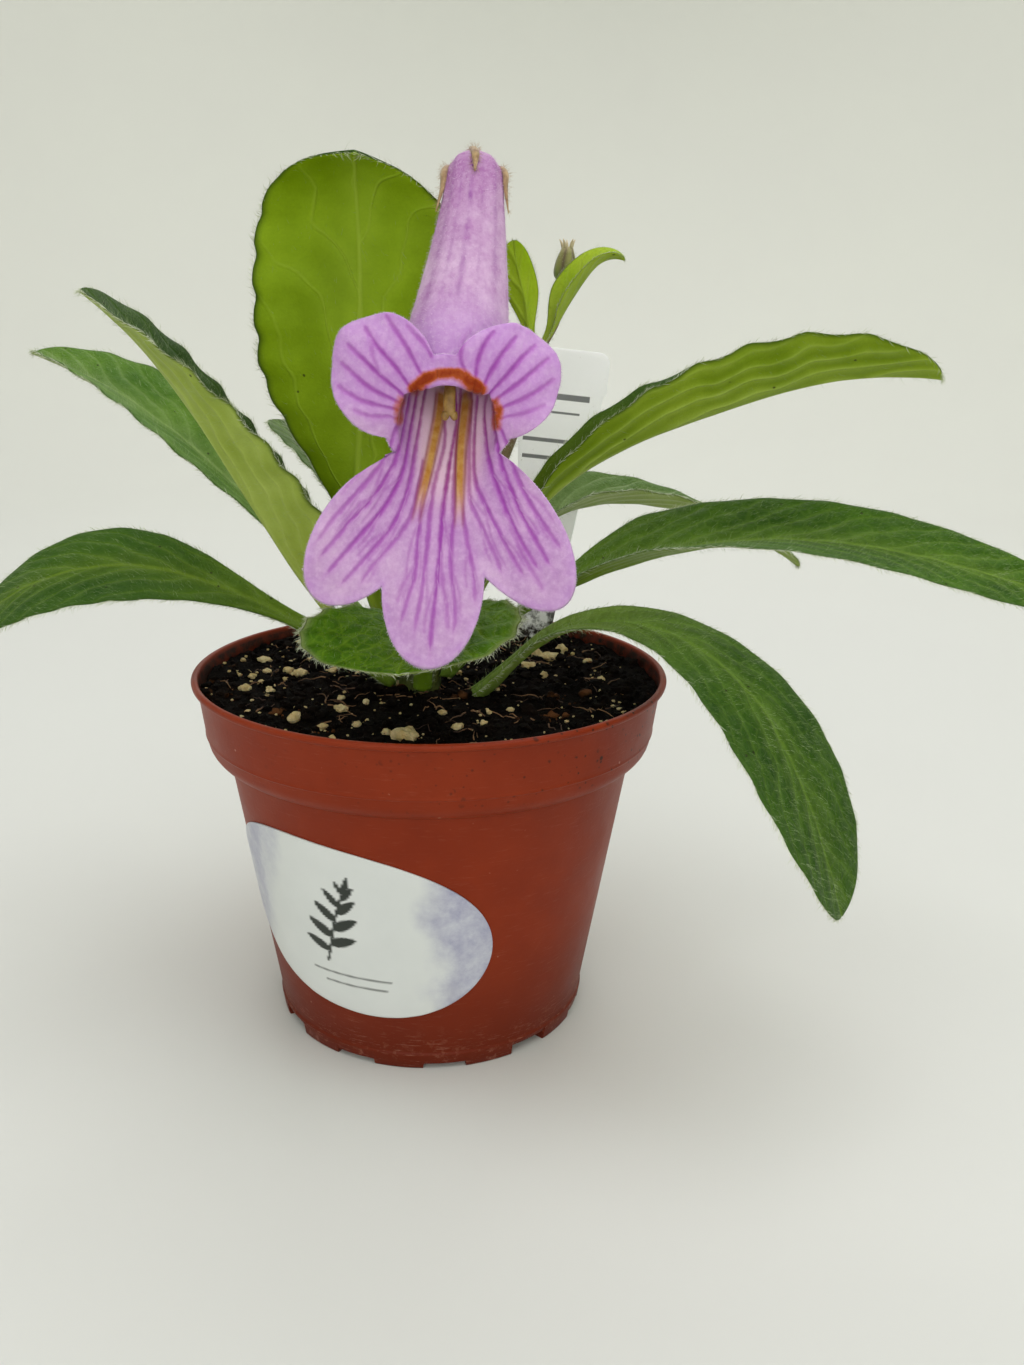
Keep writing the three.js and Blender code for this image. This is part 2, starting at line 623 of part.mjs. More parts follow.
function corolla() {
  const rows = [];
  const angles = [];
  for (let j = 0; j < FACE_COLUMNS; j += 1) {
    const even = (2 * Math.PI * j) / FACE_COLUMNS;
    angles.push(even - FACE_COLUMNS_LOW * Math.cos(even));
  }
  TUBE_RINGS.forEach((_, k) => rows.push(angles.map((angle) => tubePoint(k, angle))));
  const lastRing = rows[rows.length - 1];
  for (let i = 1; i <= THROAT_ROWS; i += 1) {
    const share = i / THROAT_ROWS;
    const eased = share * share * (3 - 2 * share) * 0.4 + share * 0.6;
    rows.push(angles.map((angle, j) => lastRing[j].clone().lerp(limbPoint(angle, 0), eased)));
  }
  for (let i = 1; i <= LIMB_ROWS; i += 1) {
    rows.push(angles.map((angle) => limbPoint(angle, i / LIMB_ROWS)));
  }
  const solid = solidOf(sheet(rows, () => PETAL_THICKNESS / 2, true));
  addPiece('corolla', geometryOf(solid), colours.petal, 0.6);
}

// The flower's stalk, its fork and the two finer stalks. With grow above zero this is its surroundings.
function stalkSolid(grow) {
  const stalk = stem(STALK_PATH, (t) => STALK_RADIUS * (1.25 - 0.3 * t) + grow, 6, 12);
  const pedicel = stem(PEDICEL_PATH, (t) => PEDICEL_RADIUS * (1 + 0.25 * t ** 4) + grow, 6, 14);
  const budStalk = stem(BUD_STALK_PATH, () => BUD_STALK_RADIUS + grow, 5, 6);
  return solidOf(stalk).add(solidOf(pedicel)).add(solidOf(budStalk));
}

function flowerStalk() {
  const solid = stalkSolid(0).subtract(crownSolid(CLEARANCE));
  addPiece('flower_stalk', geometryOf(solid), colours.stalk, 0.7);
  const surroundings = stalkSolid(CLEARANCE);
  for (const bract of BRACTS) {
    addPiece(bract.name, geometryOf(leafSolid(bract).subtract(surroundings)), colours.bract, 0.6);
  }
}

// A closed bud with five ridges, which end in short points
function bud() {
  const rings = [];
  const profile = [[0, 0.55], [0.12, 0.9], [0.35, 1], [0.62, 0.9], [0.82, 0.6], [1, 0.3]];
  for (const [t, share] of profile) {
    const ring = [];
    for (let j = 0; j < 10; j += 1) {
      const angle = (j / 10) * 2 * Math.PI;
      const radius = BUD_RADIUS * share * (j % 2 ? 0.8 : 1);
      const x = BUD_BASE[0] + 0.6 * t + radius * Math.cos(angle);
      ring.push(new THREE.Vector3(x, BUD_BASE[1] + radius * Math.sin(angle), BUD_BASE[2] + BUD_LENGTH * t));
    }
    rings.push(ring);
  }
  addPiece('bud', geometryOf(solidOf(loft(rings)).subtract(stalkSolid(CLEARANCE))), colours.sepal, 0.8);
}

// A point beside the tube's wall at ring k, as [x, y, z]
function besideTube(k, angle, extra) {
  const middle = tubePoint(k, angle).add(tubePoint(k, angle + Math.PI)).multiplyScalar(0.5);
  const outward = tubePoint(k, angle).sub(middle);
  return middle.addScaledVector(outward, 1 + extra / TUBE_RINGS[k][3]).toArray();
}

// The calyx: a small cup behind the tube's end, and five narrow sepals along the tube
function calyx() {
  const [a, b, out] = TUBE_RINGS[0];
  const base = onFace(a, b - 0.3, out - 2.3).toArray();
  const front = onFace(a, b, out - 1.2).toArray();
  let solid = solidOf(stem([base, front], (t) => 1.5 + 0.7 * t, 8, 1));
  for (const degrees of SEPAL_ANGLES) {
    const angle = degrees * DEG;
    const path = [
      onFace(a, b, out - 1.8).toArray(),
      besideTube(0, angle, 1.4),
      besideTube(1, angle, 1.6),
      besideTube(2, angle, 1.9),
    ];
    solid = solid.add(solidOf(stem(path, (t) => SEPAL_RADIUS * (1.1 - 0.7 * t), 4, 5)));
  }
  solid = solid.subtract(stalkSolid(CLEARANCE));
  addPiece('calyx', geometryOf(solid), colours.sepal, 0.8);
}

function pistil() {
  const path = STYLE_PATH.map(([a, b, out]) => onFace(a, b, out).toArray());
  const radius = (t) => STYLE_RADIUS + (STIGMA_RADIUS - STYLE_RADIUS) * THREE.MathUtils.smoothstep(t, 0.86, 0.95);
  addPiece('pistil', geometryOf(solidOf(stem(path, radius, 6, 14))), colours.pistil, 0.7);
}

// Two stamens that stand on the tube's floor, with their anthers joined under the roof of the throat
function stamens() {
  let solid = solidOf(stem([
    onFace(-1.6, 8.6, -7.6).toArray(),
    onFace(1, 8.9, -7.1).toArray(),
    onFace(3.6, 9.2, -7.6).toArray(),
  ], (t) => 0.55 + 0.5 * Math.sin(Math.PI * t), 6, 5));
  for (const side of [-1, 1]) {
    const foot = (-90 + side * 42) * DEG;
    const path = [
      besideTube(4, foot, -1.15),
      onFace(1.6 + side * 2.6, 15.5, -12),
      onFace(1 + side * 2.2, 9, -8),
    ].map((p) => (Array.isArray(p) ? p : p.toArray()));
    solid = solid.add(solidOf(stem(path, (t) => 0.4 + 0.15 * t, 5, 6)));
  }
  addPiece('stamens', geometryOf(solid), colours.stamen, 0.7);
}

// The label's outline is drawn upright from the soil line, then leaned and set in the soil
function labelSolid(grow) {
  const outline = new THREE.Shape();
  const neck = LABEL_HEIGHT - LABEL_HEAD;
  const head = LABEL_HEAD_HALF_WIDTH + grow;
  outline.moveTo(-0.7 - grow, -LABEL_DEPTH - grow);
  outline.lineTo(0.7 + grow, -LABEL_DEPTH - grow);
  outline.lineTo(LABEL_SOIL_HALF_WIDTH + grow, 0);
  outline.lineTo(LABEL_SHOULDER_HALF_WIDTH + grow, neck - 0.6);
  outline.lineTo(head, neck);
  outline.absarc(head - LABEL_CORNER, LABEL_HEIGHT - LABEL_CORNER, LABEL_CORNER, 0, 90 * DEG, false);
  outline.absarc(LABEL_CORNER - head, LABEL_HEIGHT - LABEL_CORNER, LABEL_CORNER, 90 * DEG, 180 * DEG, false);
  outline.lineTo(-head, neck);
  outline.lineTo(-LABEL_SHOULDER_HALF_WIDTH - grow, neck - 0.6);
  outline.lineTo(-LABEL_SOIL_HALF_WIDTH - grow, 0);
  const depth = LABEL_THICKNESS + 2 * grow;
  const geometry = new THREE.ExtrudeGeometry(outline, { depth, bevelEnabled: false, curveSegments: 4 });
  geometry.translate(0, 0, -depth / 2);
  geometry.rotateX((90 - LABEL_LEAN_BACK) * DEG);
  geometry.rotateY(LABEL_LEAN_RIGHT * DEG);
  geometry.translate(...LABEL_PLACE);
  return solidOf(geometry);
}

// The soil's lumpy top: rings of points from the pot's wall to the middle, with pale grains joined to it
function soil(plantFoot) {
  const draw = seededDraw(11);
  const sectors = POT_SEGMENTS / 2;
  const ringAt = (radius, height, lumps) => {
    const ring = [];
    for (let j = 0; j < sectors; j += 1) {
      const angle = (j / sectors) * 2 * Math.PI;
      const z = height + lumps * (draw() - 0.5);
      ring.push(new THREE.Vector3(radius * Math.cos(angle), radius * Math.sin(angle), z));
    }
    return ring;
  };
  const [floor, bend, band] = innerWall();
  const soilRadius = band[0] - CLEARANCE;
  const rings = [
    ringAt(floor[0] - CLEARANCE, POT_FLOOR + CLEARANCE, 0),
    ringAt(bend[0] - CLEARANCE, bend[1], 0),
    ringAt(soilRadius, band[1], 0),
  ];
  for (let i = 0; i <= SOIL_RINGS; i += 1) {
    const share = 1 - (0.97 * i) / SOIL_RINGS;
    rings.push(ringAt(soilRadius * share, SOIL_HEIGHT, SOIL_RELIEF));
  }
  let solid = solidOf(loft(rings));
  for (let i = 0; i < PERLITE_GRAINS; i += 1) {
    const angle = draw() * 2 * Math.PI;
    const reach = 8 + (soilRadius - 11) * Math.sqrt(draw());
    const size = 0.8 + 1.1 * draw() ** 2;
    const grain = new THREE.IcosahedronGeometry(size, 0);
    grain.scale(1 + 0.5 * draw(), 1, 0.8);
    grain.rotateZ(draw() * 6);
    grain.translate(reach * Math.cos(angle), reach * Math.sin(angle), SOIL_HEIGHT + 0.3 * size);
    solid = solid.add(solidOf(grain));
  }
  solid = solid.subtract(plantFoot).subtract(labelSolid(CLEARANCE));
  addPiece('soil', geometryOf(solid), colours.soil, 0.95);
}

// An oval skin on the pot's body, a little proud of it
function potSticker() {
  const rows = [];
  const step = 360 / POT_SEGMENTS;
  const middle = (STICKER_FROM + STICKER_TO) / 2;
  const reach = (STICKER_TO - STICKER_FROM) / 2;
  const away = STICKER_GAP + STICKER_THICKNESS / 2;
  const lean = Math.atan2(BODY_TOP_RADIUS - BASE_RADIUS, BODY_TOP_HEIGHT);
  for (let angle = STICKER_FROM; angle <= STICKER_TO; angle += step) {
    const off = (angle - middle) / reach;
    const half = Math.max(STICKER_HALF_HEIGHT * (1 - Math.abs(off) ** 2.3) ** 0.5, 2);
    const row = [];
    for (let j = -2; j <= 2; j += 1) {
      const z = STICKER_MIDDLE_HEIGHT + STICKER_SLOPE * (angle - middle) + (half * j) / 2;
      const radius = bodyRadius(z) + away * Math.cos(lean);
      row.push(new THREE.Vector3(
        radius * Math.cos(angle * DEG),
        radius * Math.sin(angle * DEG),
        z - away * Math.sin(lean),
      ));
    }
    rows.push(row);
  }
  addPiece('pot_sticker', sheet(rows, () => STICKER_THICKNESS / 2, false), colours.paper, 0.4);
}

pot();
addPiece('crown', geometryOf(crownSolid(0)), colours.crown, 0.7);
soil(leaves());
flowerStalk();
corolla();
calyx();
pistil();
stamens();
bud();
addPiece('plant_label', geometryOf(labelSolid(0)), colours.label, 0.4);
potSticker();

export default plant;
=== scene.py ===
"""The looks of a potted primulina: fine hairy leaves, the lilac flower, soil, pot, label and sticker.

Shapes are worked out in millimetres in the part's own frame and turned into metres when a mesh is made.
"""

import math

import bpy
import numpy as np
from mathutils import Matrix


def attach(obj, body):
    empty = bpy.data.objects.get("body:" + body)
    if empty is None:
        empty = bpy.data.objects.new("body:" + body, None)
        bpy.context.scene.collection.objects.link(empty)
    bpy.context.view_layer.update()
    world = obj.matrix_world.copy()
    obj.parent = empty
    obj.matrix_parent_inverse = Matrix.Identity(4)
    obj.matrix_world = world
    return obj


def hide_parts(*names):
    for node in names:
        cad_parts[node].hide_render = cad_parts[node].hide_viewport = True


MM = 0.001
TAU = 2 * math.pi

# ---------------------------------------------------------------- camera of the photograph (mm and radians)
FOCAL_PIXELS = 1200
IMAGE = (1024, 1365)
EYE = np.array([0, -197.7768, 118.4748])
YAW, PITCH, CAMERA_ROLL = 0.0698, 0.295, 0.0186


def camera_axes():
    forward = np.array([math.sin(YAW) * math.cos(PITCH), math.cos(YAW) * math.cos(PITCH), -math.sin(PITCH)])
    right = np.cross(forward, [0, 0, 1])
    right /= np.linalg.norm(right)
    up = np.cross(right, forward)
    turned = math.cos(CAMERA_ROLL) * right + math.sin(CAMERA_ROLL) * up
    return turned, math.cos(CAMERA_ROLL) * up - math.sin(CAMERA_ROLL) * right, forward


RIGHT, ABOVE, FORWARD = camera_axes()


def to_picture(points):
    """Where points land in the photograph's frame, in its pixels."""
    away = points - EYE
    depth = away @ FORWARD
    return np.stack([IMAGE[0] / 2 + FOCAL_PIXELS * (away @ RIGHT) / depth,
                     IMAGE[1] / 2 - FOCAL_PIXELS * (away @ ABOVE) / depth], -1)


def at_height(pixels, height):
    """The points at a height that stand at these places in the photograph's frame."""
    pixels = np.asarray(pixels, float)
    ray = (FORWARD + (pixels[:, :1] - IMAGE[0] / 2) / FOCAL_PIXELS * RIGHT
           - (pixels[:, 1:] - IMAGE[1] / 2) / FOCAL_PIXELS * ABOVE)
    return EYE + ray * ((height - EYE[2]) / ray[:, 2])[:, None]


# ---------------------------------------------------------------- small maths
def smoothstep(x, low, high):
    t = np.clip((np.asarray(x, float) - low) / (high - low), 0, 1)
    return t * t * (3 - 2 * t)


def unit(v):
    return v / np.maximum(np.linalg.norm(v, axis=-1, keepdims=True), 1e-12)


def lattice(cell, seed):
    h = (cell[..., 0] * 73856093) ^ (cell[..., 1] * 19349663) ^ (cell[..., 2] * 83492791) ^ (seed * 40503)
    h = ((h ^ (h >> 13)) * 1274126177) & 0xFFFFFFFF
    h = ((h ^ (h >> 15)) * 73244475) & 0xFFFFFFFF
    return ((h ^ (h >> 16)) & 0xFFFF) / 32767.5 - 1


def noise(points, seed=0):
    """Smooth noise from -1 to 1."""
    points = np.asarray(points, float)
    base = np.floor(points).astype(np.int64)
    f = points - base
    f = f * f * (3 - 2 * f)
    total = 0
    for corner in np.ndindex(2, 2, 2):
        weight = np.prod(np.where(corner, f, 1 - f), axis=-1)
        total = total + weight * lattice(base + np.array(corner), seed)
    return total


def layered_noise(points, octaves=4, seed=0, gain=0.5):
    total, size = 0, 1
    for i in range(octaves):
        total = total + size * noise(points * 2.03 ** i, seed + 17 * i)
        size *= gain
    return total


def track(values, t):
    """A smooth curve through values at equal steps from t = 0 to t = 1."""
    values = np.asarray(values, float)
    last = len(values) - 1
    place = np.clip(t, 0, 1) * last
    i = np.minimum(np.floor(place).astype(int), last - 1)
    f = place - i
    if values.ndim > 1:
        f = f[..., None]
    b, c = values[i], values[i + 1]
    first, end = (i > 0), (i + 2 <= last)
    if values.ndim > 1:
        first, end = first[..., None], end[..., None]
    a = np.where(first, values[np.maximum(i - 1, 0)], 2 * b - c)
    d = np.where(end, values[np.minimum(i + 2, last)], 2 * c - b)
    return 0.5 * (2 * b + (c - a) * f + (2 * a - 5 * b + 4 * c - d) * f ** 2 + (3 * b - a - 3 * c + d) * f ** 3)


def distance_to_line(points, line):
    """How far 2-D points are from a line of points, and how far along it (0 to 1) the nearest place is."""
    line = np.asarray(line, float)
    steps = np.linalg.norm(np.diff(line, axis=0), axis=1)
    before = np.concatenate([[0], np.cumsum(steps)])
    best = np.full(points.shape[:-1], 1e9)
    where = np.zeros(points.shape[:-1])
    for k in range(len(line) - 1):
        step = line[k + 1] - line[k]
        f = np.clip(((points - line[k]) @ step) / (step @ step), 0, 1)
        away = np.linalg.norm(points - line[k] - f[..., None] * step, axis=-1)
        nearer = away < best
        best = np.where(nearer, away, best)
        where = np.where(nearer, (before[k] + f * steps[k]) / before[-1], where)
    return best, where


def smooth_line(points, count=24):
    return track(np.asarray(points, float), np.linspace(0, 1, count))


# ---------------------------------------------------------------- meshes
def make(name, points, faces, materials, face_material=None, values=None, uv=None, smooth=True,
         replaces=()):
    """A mesh object from points in millimetres and arrays of triangles and quads. It rides on the root."""
    points = np.asarray(points, float).reshape(-1, 3)
    mesh = bpy.data.meshes.new(name)
    mesh.vertices.add(len(points))
    mesh.vertices.foreach_set("co", (points * MM).astype(np.float32).ravel())
    corners = np.concatenate([f.ravel() for f in faces]).astype(np.int32)
    sizes = np.concatenate([np.full(len(f), f.shape[1]) for f in faces])
    mesh.loops.add(len(corners))
    mesh.loops.foreach_set("vertex_index", corners)
    mesh.polygons.add(len(sizes))
    mesh.polygons.foreach_set("loop_start", np.concatenate([[0], np.cumsum(sizes)[:-1]]).astype(np.int32))
    mesh.polygons.foreach_set("use_smooth", np.full(len(sizes), smooth))
    if face_material is not None:
        mesh.polygons.foreach_set("material_index", np.asarray(face_material, np.int32))
    mesh.update(calc_edges=True)
    mesh.validate()
    for key, value in (values or {}).items():
        value = np.asarray(value, np.float32)
        if value.ndim == 1:
            mesh.attributes.new(key, "FLOAT", "POINT").data.foreach_set("value", value)
        else:
            colour = np.concatenate([value, np.ones((len(value), 1), np.float32)], 1)
            mesh.attributes.new(key, "FLOAT_COLOR", "POINT").data.foreach_set("color", colour.ravel())
    if uv is not None:
        order = np.empty(len(mesh.loops), np.int32)
        mesh.loops.foreach_get("vertex_index", order)
        layer = mesh.uv_layers.new(name="UVMap")
        layer.data.foreach_set("uv", np.asarray(uv, np.float32)[order].ravel())
    for material in materials:
        mesh.materials.append(material)
    piece = bpy.data.objects.new(name, mesh)
    bpy.context.scene.collection.objects.link(piece)
    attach(piece, "root")
    if replaces:
        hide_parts(*replaces)
    return piece


def grid_faces(rows, columns, wrap=False, start=0):
    i, j = np.meshgrid(np.arange(rows - 1), np.arange(columns if wrap else columns - 1), indexing="ij")
    k = (j + 1) % columns
    a, b, c, d = i * columns + j, (i + 1) * columns + j, (i + 1) * columns + k, i * columns + k
    return start + np.stack([a, b, c, d], -1).reshape(-1, 4)


def surface_normals(grid, wrap=False):
    down = np.gradient(grid, axis=0)
    if wrap:
        across = (np.roll(grid, -1, 1) - np.roll(grid, 1, 1)) / 2
    else:
        across = np.gradient(grid, axis=1)
    return unit(np.cross(down, across))


def tube(path, radii, sides=10, closed=True, flatten=None):
    """Points and faces of a round tube along a path, with a radius at each point."""
    path = np.asarray(path, float)
    radii = np.broadcast_to(radii, len(path))
    along = unit(np.gradient(path, axis=0))
    normal = unit(np.cross(along[0], [0.31, 0.87, 0.12]))
    normals = []
    for direction in along:
        normal = unit(normal - direction * (normal @ direction))
        normals.append(normal)
    normals = np.array(normals)
    other = np.cross(along, normals)
    angle = np.arange(sides) / sides * TAU
    wide, high = (1, 1) if flatten is None else flatten
    rings = (path[:, None] + radii[:, None, None] * (wide * np.cos(angle)[:, None] * normals[:, None]
                                                     + high * np.sin(angle)[:, None] * other[:, None]))
    points = rings.reshape(-1, 3)
    faces = [grid_faces(len(path), sides, wrap=True)[:, ::-1]]
    if closed:
        points = np.concatenate([points, path[:1], path[-1:]])
        j = np.arange(sides)
        last = (len(path) - 1) * sides
        faces.append(np.stack([np.full(sides, len(points) - 2), (j + 1) % sides, j], -1))
        faces.append(np.stack([np.full(sides, len(points) - 1), last + j, last + (j + 1) % sides], -1))
    return points, faces


def join(parts):
    """Several (points, faces) as one."""
    points, quads, start = [], {}, 0
    for part, faces in parts:
        points.append(part)
        for f in faces:
            quads.setdefault(f.shape[1], []).append(f + start)
        start += len(part)
    return np.concatenate(points), [np.concatenate(f) for f in quads.values()]


def icosphere(level):
    g = (1 + 5 ** 0.5) / 2
    points = np.array([[-1, g, 0], [1, g, 0], [-1, -g, 0], [1, -g, 0], [0, -1, g], [0, 1, g], [0, -1, -g],
                       [0, 1, -g], [g, 0, -1], [g, 0, 1], [-g, 0, -1], [-g, 0, 1]], float)
    faces = np.array([[0, 11, 5], [0, 5, 1], [0, 1, 7], [0, 7, 10], [0, 10, 11], [1, 5, 9], [5, 11, 4],
                      [11, 10, 2], [10, 7, 6], [7, 1, 8], [3, 9, 4], [3, 4, 2], [3, 2, 6], [3, 6, 8],
                      [3, 8, 9], [4, 9, 5], [2, 4, 11], [6, 2, 10], [8, 6, 7], [9, 8, 1]])
    for _ in range(level):
        edges = np.sort(np.concatenate([faces[:, [0, 1]], faces[:, [1, 2]], faces[:, [2, 0]]]), axis=1)
        unique, back = np.unique(edges, axis=0, return_inverse=True)
        back = back.reshape(-1) + len(points)
        points = np.concatenate([points, (points[unique[:, 0]] + points[unique[:, 1]]) / 2])
        n = len(faces)
        ab, bc, ca = back[:n], back[n:2 * n], back[2 * n:]
        a, b, c = faces.T
        faces = np.concatenate([np.stack(f, -1) for f in ((a, ab, ca), (b, bc, ab), (c, ca, bc), (ab, bc, ca))])
    return unit(points), faces


def lumps(places, sizes, level, seed, rough=0.35, squash=0.75):
    """One mesh of many irregular grains."""
    draw = np.random.default_rng(seed)
    ball, faces = icosphere(level)
    n, m = len(places), len(ball)
    shift = draw.uniform(-50, 50, (n, 1, 3))
    bumps = 1 + rough * layered_noise(ball[None] * 1.6 + shift, 2, seed)
    stretch = draw.uniform(0.75, 1.3, (n, 1, 3)) * [1, 1, squash]
    spin = draw.uniform(0, TAU, n)
    shape = ball[None] * bumps[..., None] * stretch * sizes[:, None, None]
    c, s = np.cos(spin)[:, None], np.sin(spin)[:, None]
    shape = np.stack([shape[..., 0] * c - shape[..., 1] * s, shape[..., 0] * s + shape[..., 1] * c,
                      shape[..., 2]], -1)
    points = (shape + places[:, None]).reshape(-1, 3)
    return points, [(faces[None] + (np.arange(n) * m)[:, None, None]).reshape(-1, 3)]


def hairs(roots, directions, lengths, width, seed, droop=0.0, lean=None):
    """One mesh of fine tapered hairs, each a narrow blade that bends towards lean."""
    draw = np.random.default_rng(seed)
    directions = unit(directions)
    across = unit(np.cross(directions, draw.normal(size=directions.shape)))
    lengths = np.broadcast_to(lengths, len(roots))[:, None]
    half = np.broadcast_to(width, len(roots))[:, None] / 2
    bend = np.zeros_like(directions) if lean is None else lean
    middle = roots + directions * lengths * 0.55 + bend * lengths * 0.18
    tip = roots + directions * lengths * 0.9 + bend * lengths * 0.6 + np.array([0, 0, -1]) * droop * lengths
    points = np.stack([roots - across * half, roots + across * half, middle + across * half * 0.8,
                       middle - across * half * 0.8, tip], 1).reshape(-1, 3)
    base = np.arange(len(roots))[:, None] * 5
    return points, [base + np.array([[0, 1, 2, 3]]), base + np.array([[3, 2, 4]])]


def scatter(grid, count, seed, weight=None):
    """Random places on a grid of points, even over its area: places, normals, directions along and cells."""
    draw = np.random.default_rng(seed)
    a, b, c, d = grid[:-1, :-1], grid[1:, :-1], grid[1:, 1:], grid[:-1, 1:]
    normal = np.cross(c - a, d - b)
    area = np.linalg.norm(normal, axis=-1) / 2
    if weight is not None:
        area = area * weight[:-1, :-1]
    chance = np.cumsum(area.ravel())
    cell = np.searchsorted(chance, draw.uniform(0, chance[-1], count))
    cell = np.minimum(cell, area.size - 1)
    i, j = np.unravel_index(cell, area.shape)
    u, v = draw.uniform(size=(2, count, 1))
    place = (a[i, j] * (1 - u) * (1 - v) + b[i, j] * u * (1 - v) + c[i, j] * u * v + d[i, j] * (1 - u) * v)
    return place, unit(normal[i, j]), unit(b[i, j] - a[i, j]), (i, j)


# ---------------------------------------------------------------- materials
class Look:
    """A material with short calls for the nodes that it is made of."""

    def __init__(self, name, roughness=0.5, **fixed):
        self.material = bpy.data.materials.new(name)
        self.material.use_nodes = True
        self.tree = self.material.node_tree
        self.shader = self.tree.nodes["Principled BSDF"]
        self.shader.inputs["Roughness"].default_value = roughness
        for key, value in fixed.items():
            self.shader.inputs[key.replace("_", " ")].default_value = value

    def node(self, kind, inputs=(), **settings):
        made = self.tree.nodes.new(kind)
        for key, value in settings.items():
            setattr(made, key, value)
        for key, value in dict(inputs).items():
            socket = made.inputs[key]
            if isinstance(value, bpy.types.NodeSocket):
                self.tree.links.new(value, socket)
            else:
                socket.default_value = value
        return made

    def place(self):
        return self.node("ShaderNodeTexCoord").outputs["Object"]

    def uv(self):
        return self.node("ShaderNodeTexCoord").outputs["UV"]

    def value(self, name):
        return self.node("ShaderNodeAttribute", attribute_name=name).outputs["Fac"]

    def colour_of(self, name):
        return self.node("ShaderNodeAttribute", attribute_name=name).outputs["Color"]

    def noise(self, scale, detail=3.0, roughness=0.55, vector=None, stretch=None):
        vector = vector or self.place()
        if stretch is not None:
            vector = self.node("ShaderNodeMapping", {0: vector, 3: stretch}).outputs[0]
        return self.node("ShaderNodeTexNoise", {"Vector": vector, "Scale": scale, "Detail": detail,
                                                "Roughness": roughness}).outputs["Fac"]

    def cells(self, scale, vector=None, feature="F1", randomness=1.0, output="Distance"):
        return self.node("ShaderNodeTexVoronoi", {"Vector": vector or self.place(), "Scale": scale,
                                                  "Randomness": randomness}, feature=feature).outputs[output]

    def maths(self, operation, a, b=0.0, clamp=False):
        return self.node("ShaderNodeMath", {0: a, 1: b}, operation=operation, use_clamp=clamp).outputs[0]

    def span(self, value, low, high, to_low=0.0, to_high=1.0):
        return self.node("ShaderNodeMapRange", {0: value, 1: low, 2: high, 3: to_low, 4: to_high}).outputs[0]

    def soft(self, value, far, near):
        """1 where the value is near, easing to 0 where it is far."""
        return self.node("ShaderNodeMapRange", {0: value, 1: near, 2: far, 3: 1.0, 4: 0.0},
                         interpolation_type="SMOOTHSTEP").outputs[0]

    def mix(self, share, a, b, blend="MIX"):
        made = self.node("ShaderNodeMix", {0: share}, data_type="RGBA", blend_type=blend)
        for index, value in ((6, a), (7, b)):
            if isinstance(value, bpy.types.NodeSocket):
                self.tree.links.new(value, made.inputs[index])
            else:
                made.inputs[index].default_value = (*value[:3], 1)
        return made.outputs[2]

    def ramp(self, share, stops):
        made = self.node("ShaderNodeValToRGB", {0: share})
        elements = made.color_ramp.elements
        while len(elements) < len(stops):
            elements.new(0.5)
        for element, (place, colour) in zip(elements, stops):
            element.position = place
            element.color = (*colour[:3], 1)
        return made.outputs[0]

    def set(self, socket, value):
        self.tree.links.new(value, self.shader.inputs[socket])
        return self

    def bump(self, height, depth=0.0001, strength=1.0):
        made = self.node("ShaderNodeBump", {"Height": height, "Distance": depth, "Strength": strength})
        self.tree.links.new(made.outputs[0], self.shader.inputs["Normal"])
        return self


def srgb(r, g, b):
    return tuple((c / 255 / 12.92) if c / 255 <= 0.04045 else ((c / 255 + 0.055) / 1.055) ** 2.4
                 for c in (r, g, b))


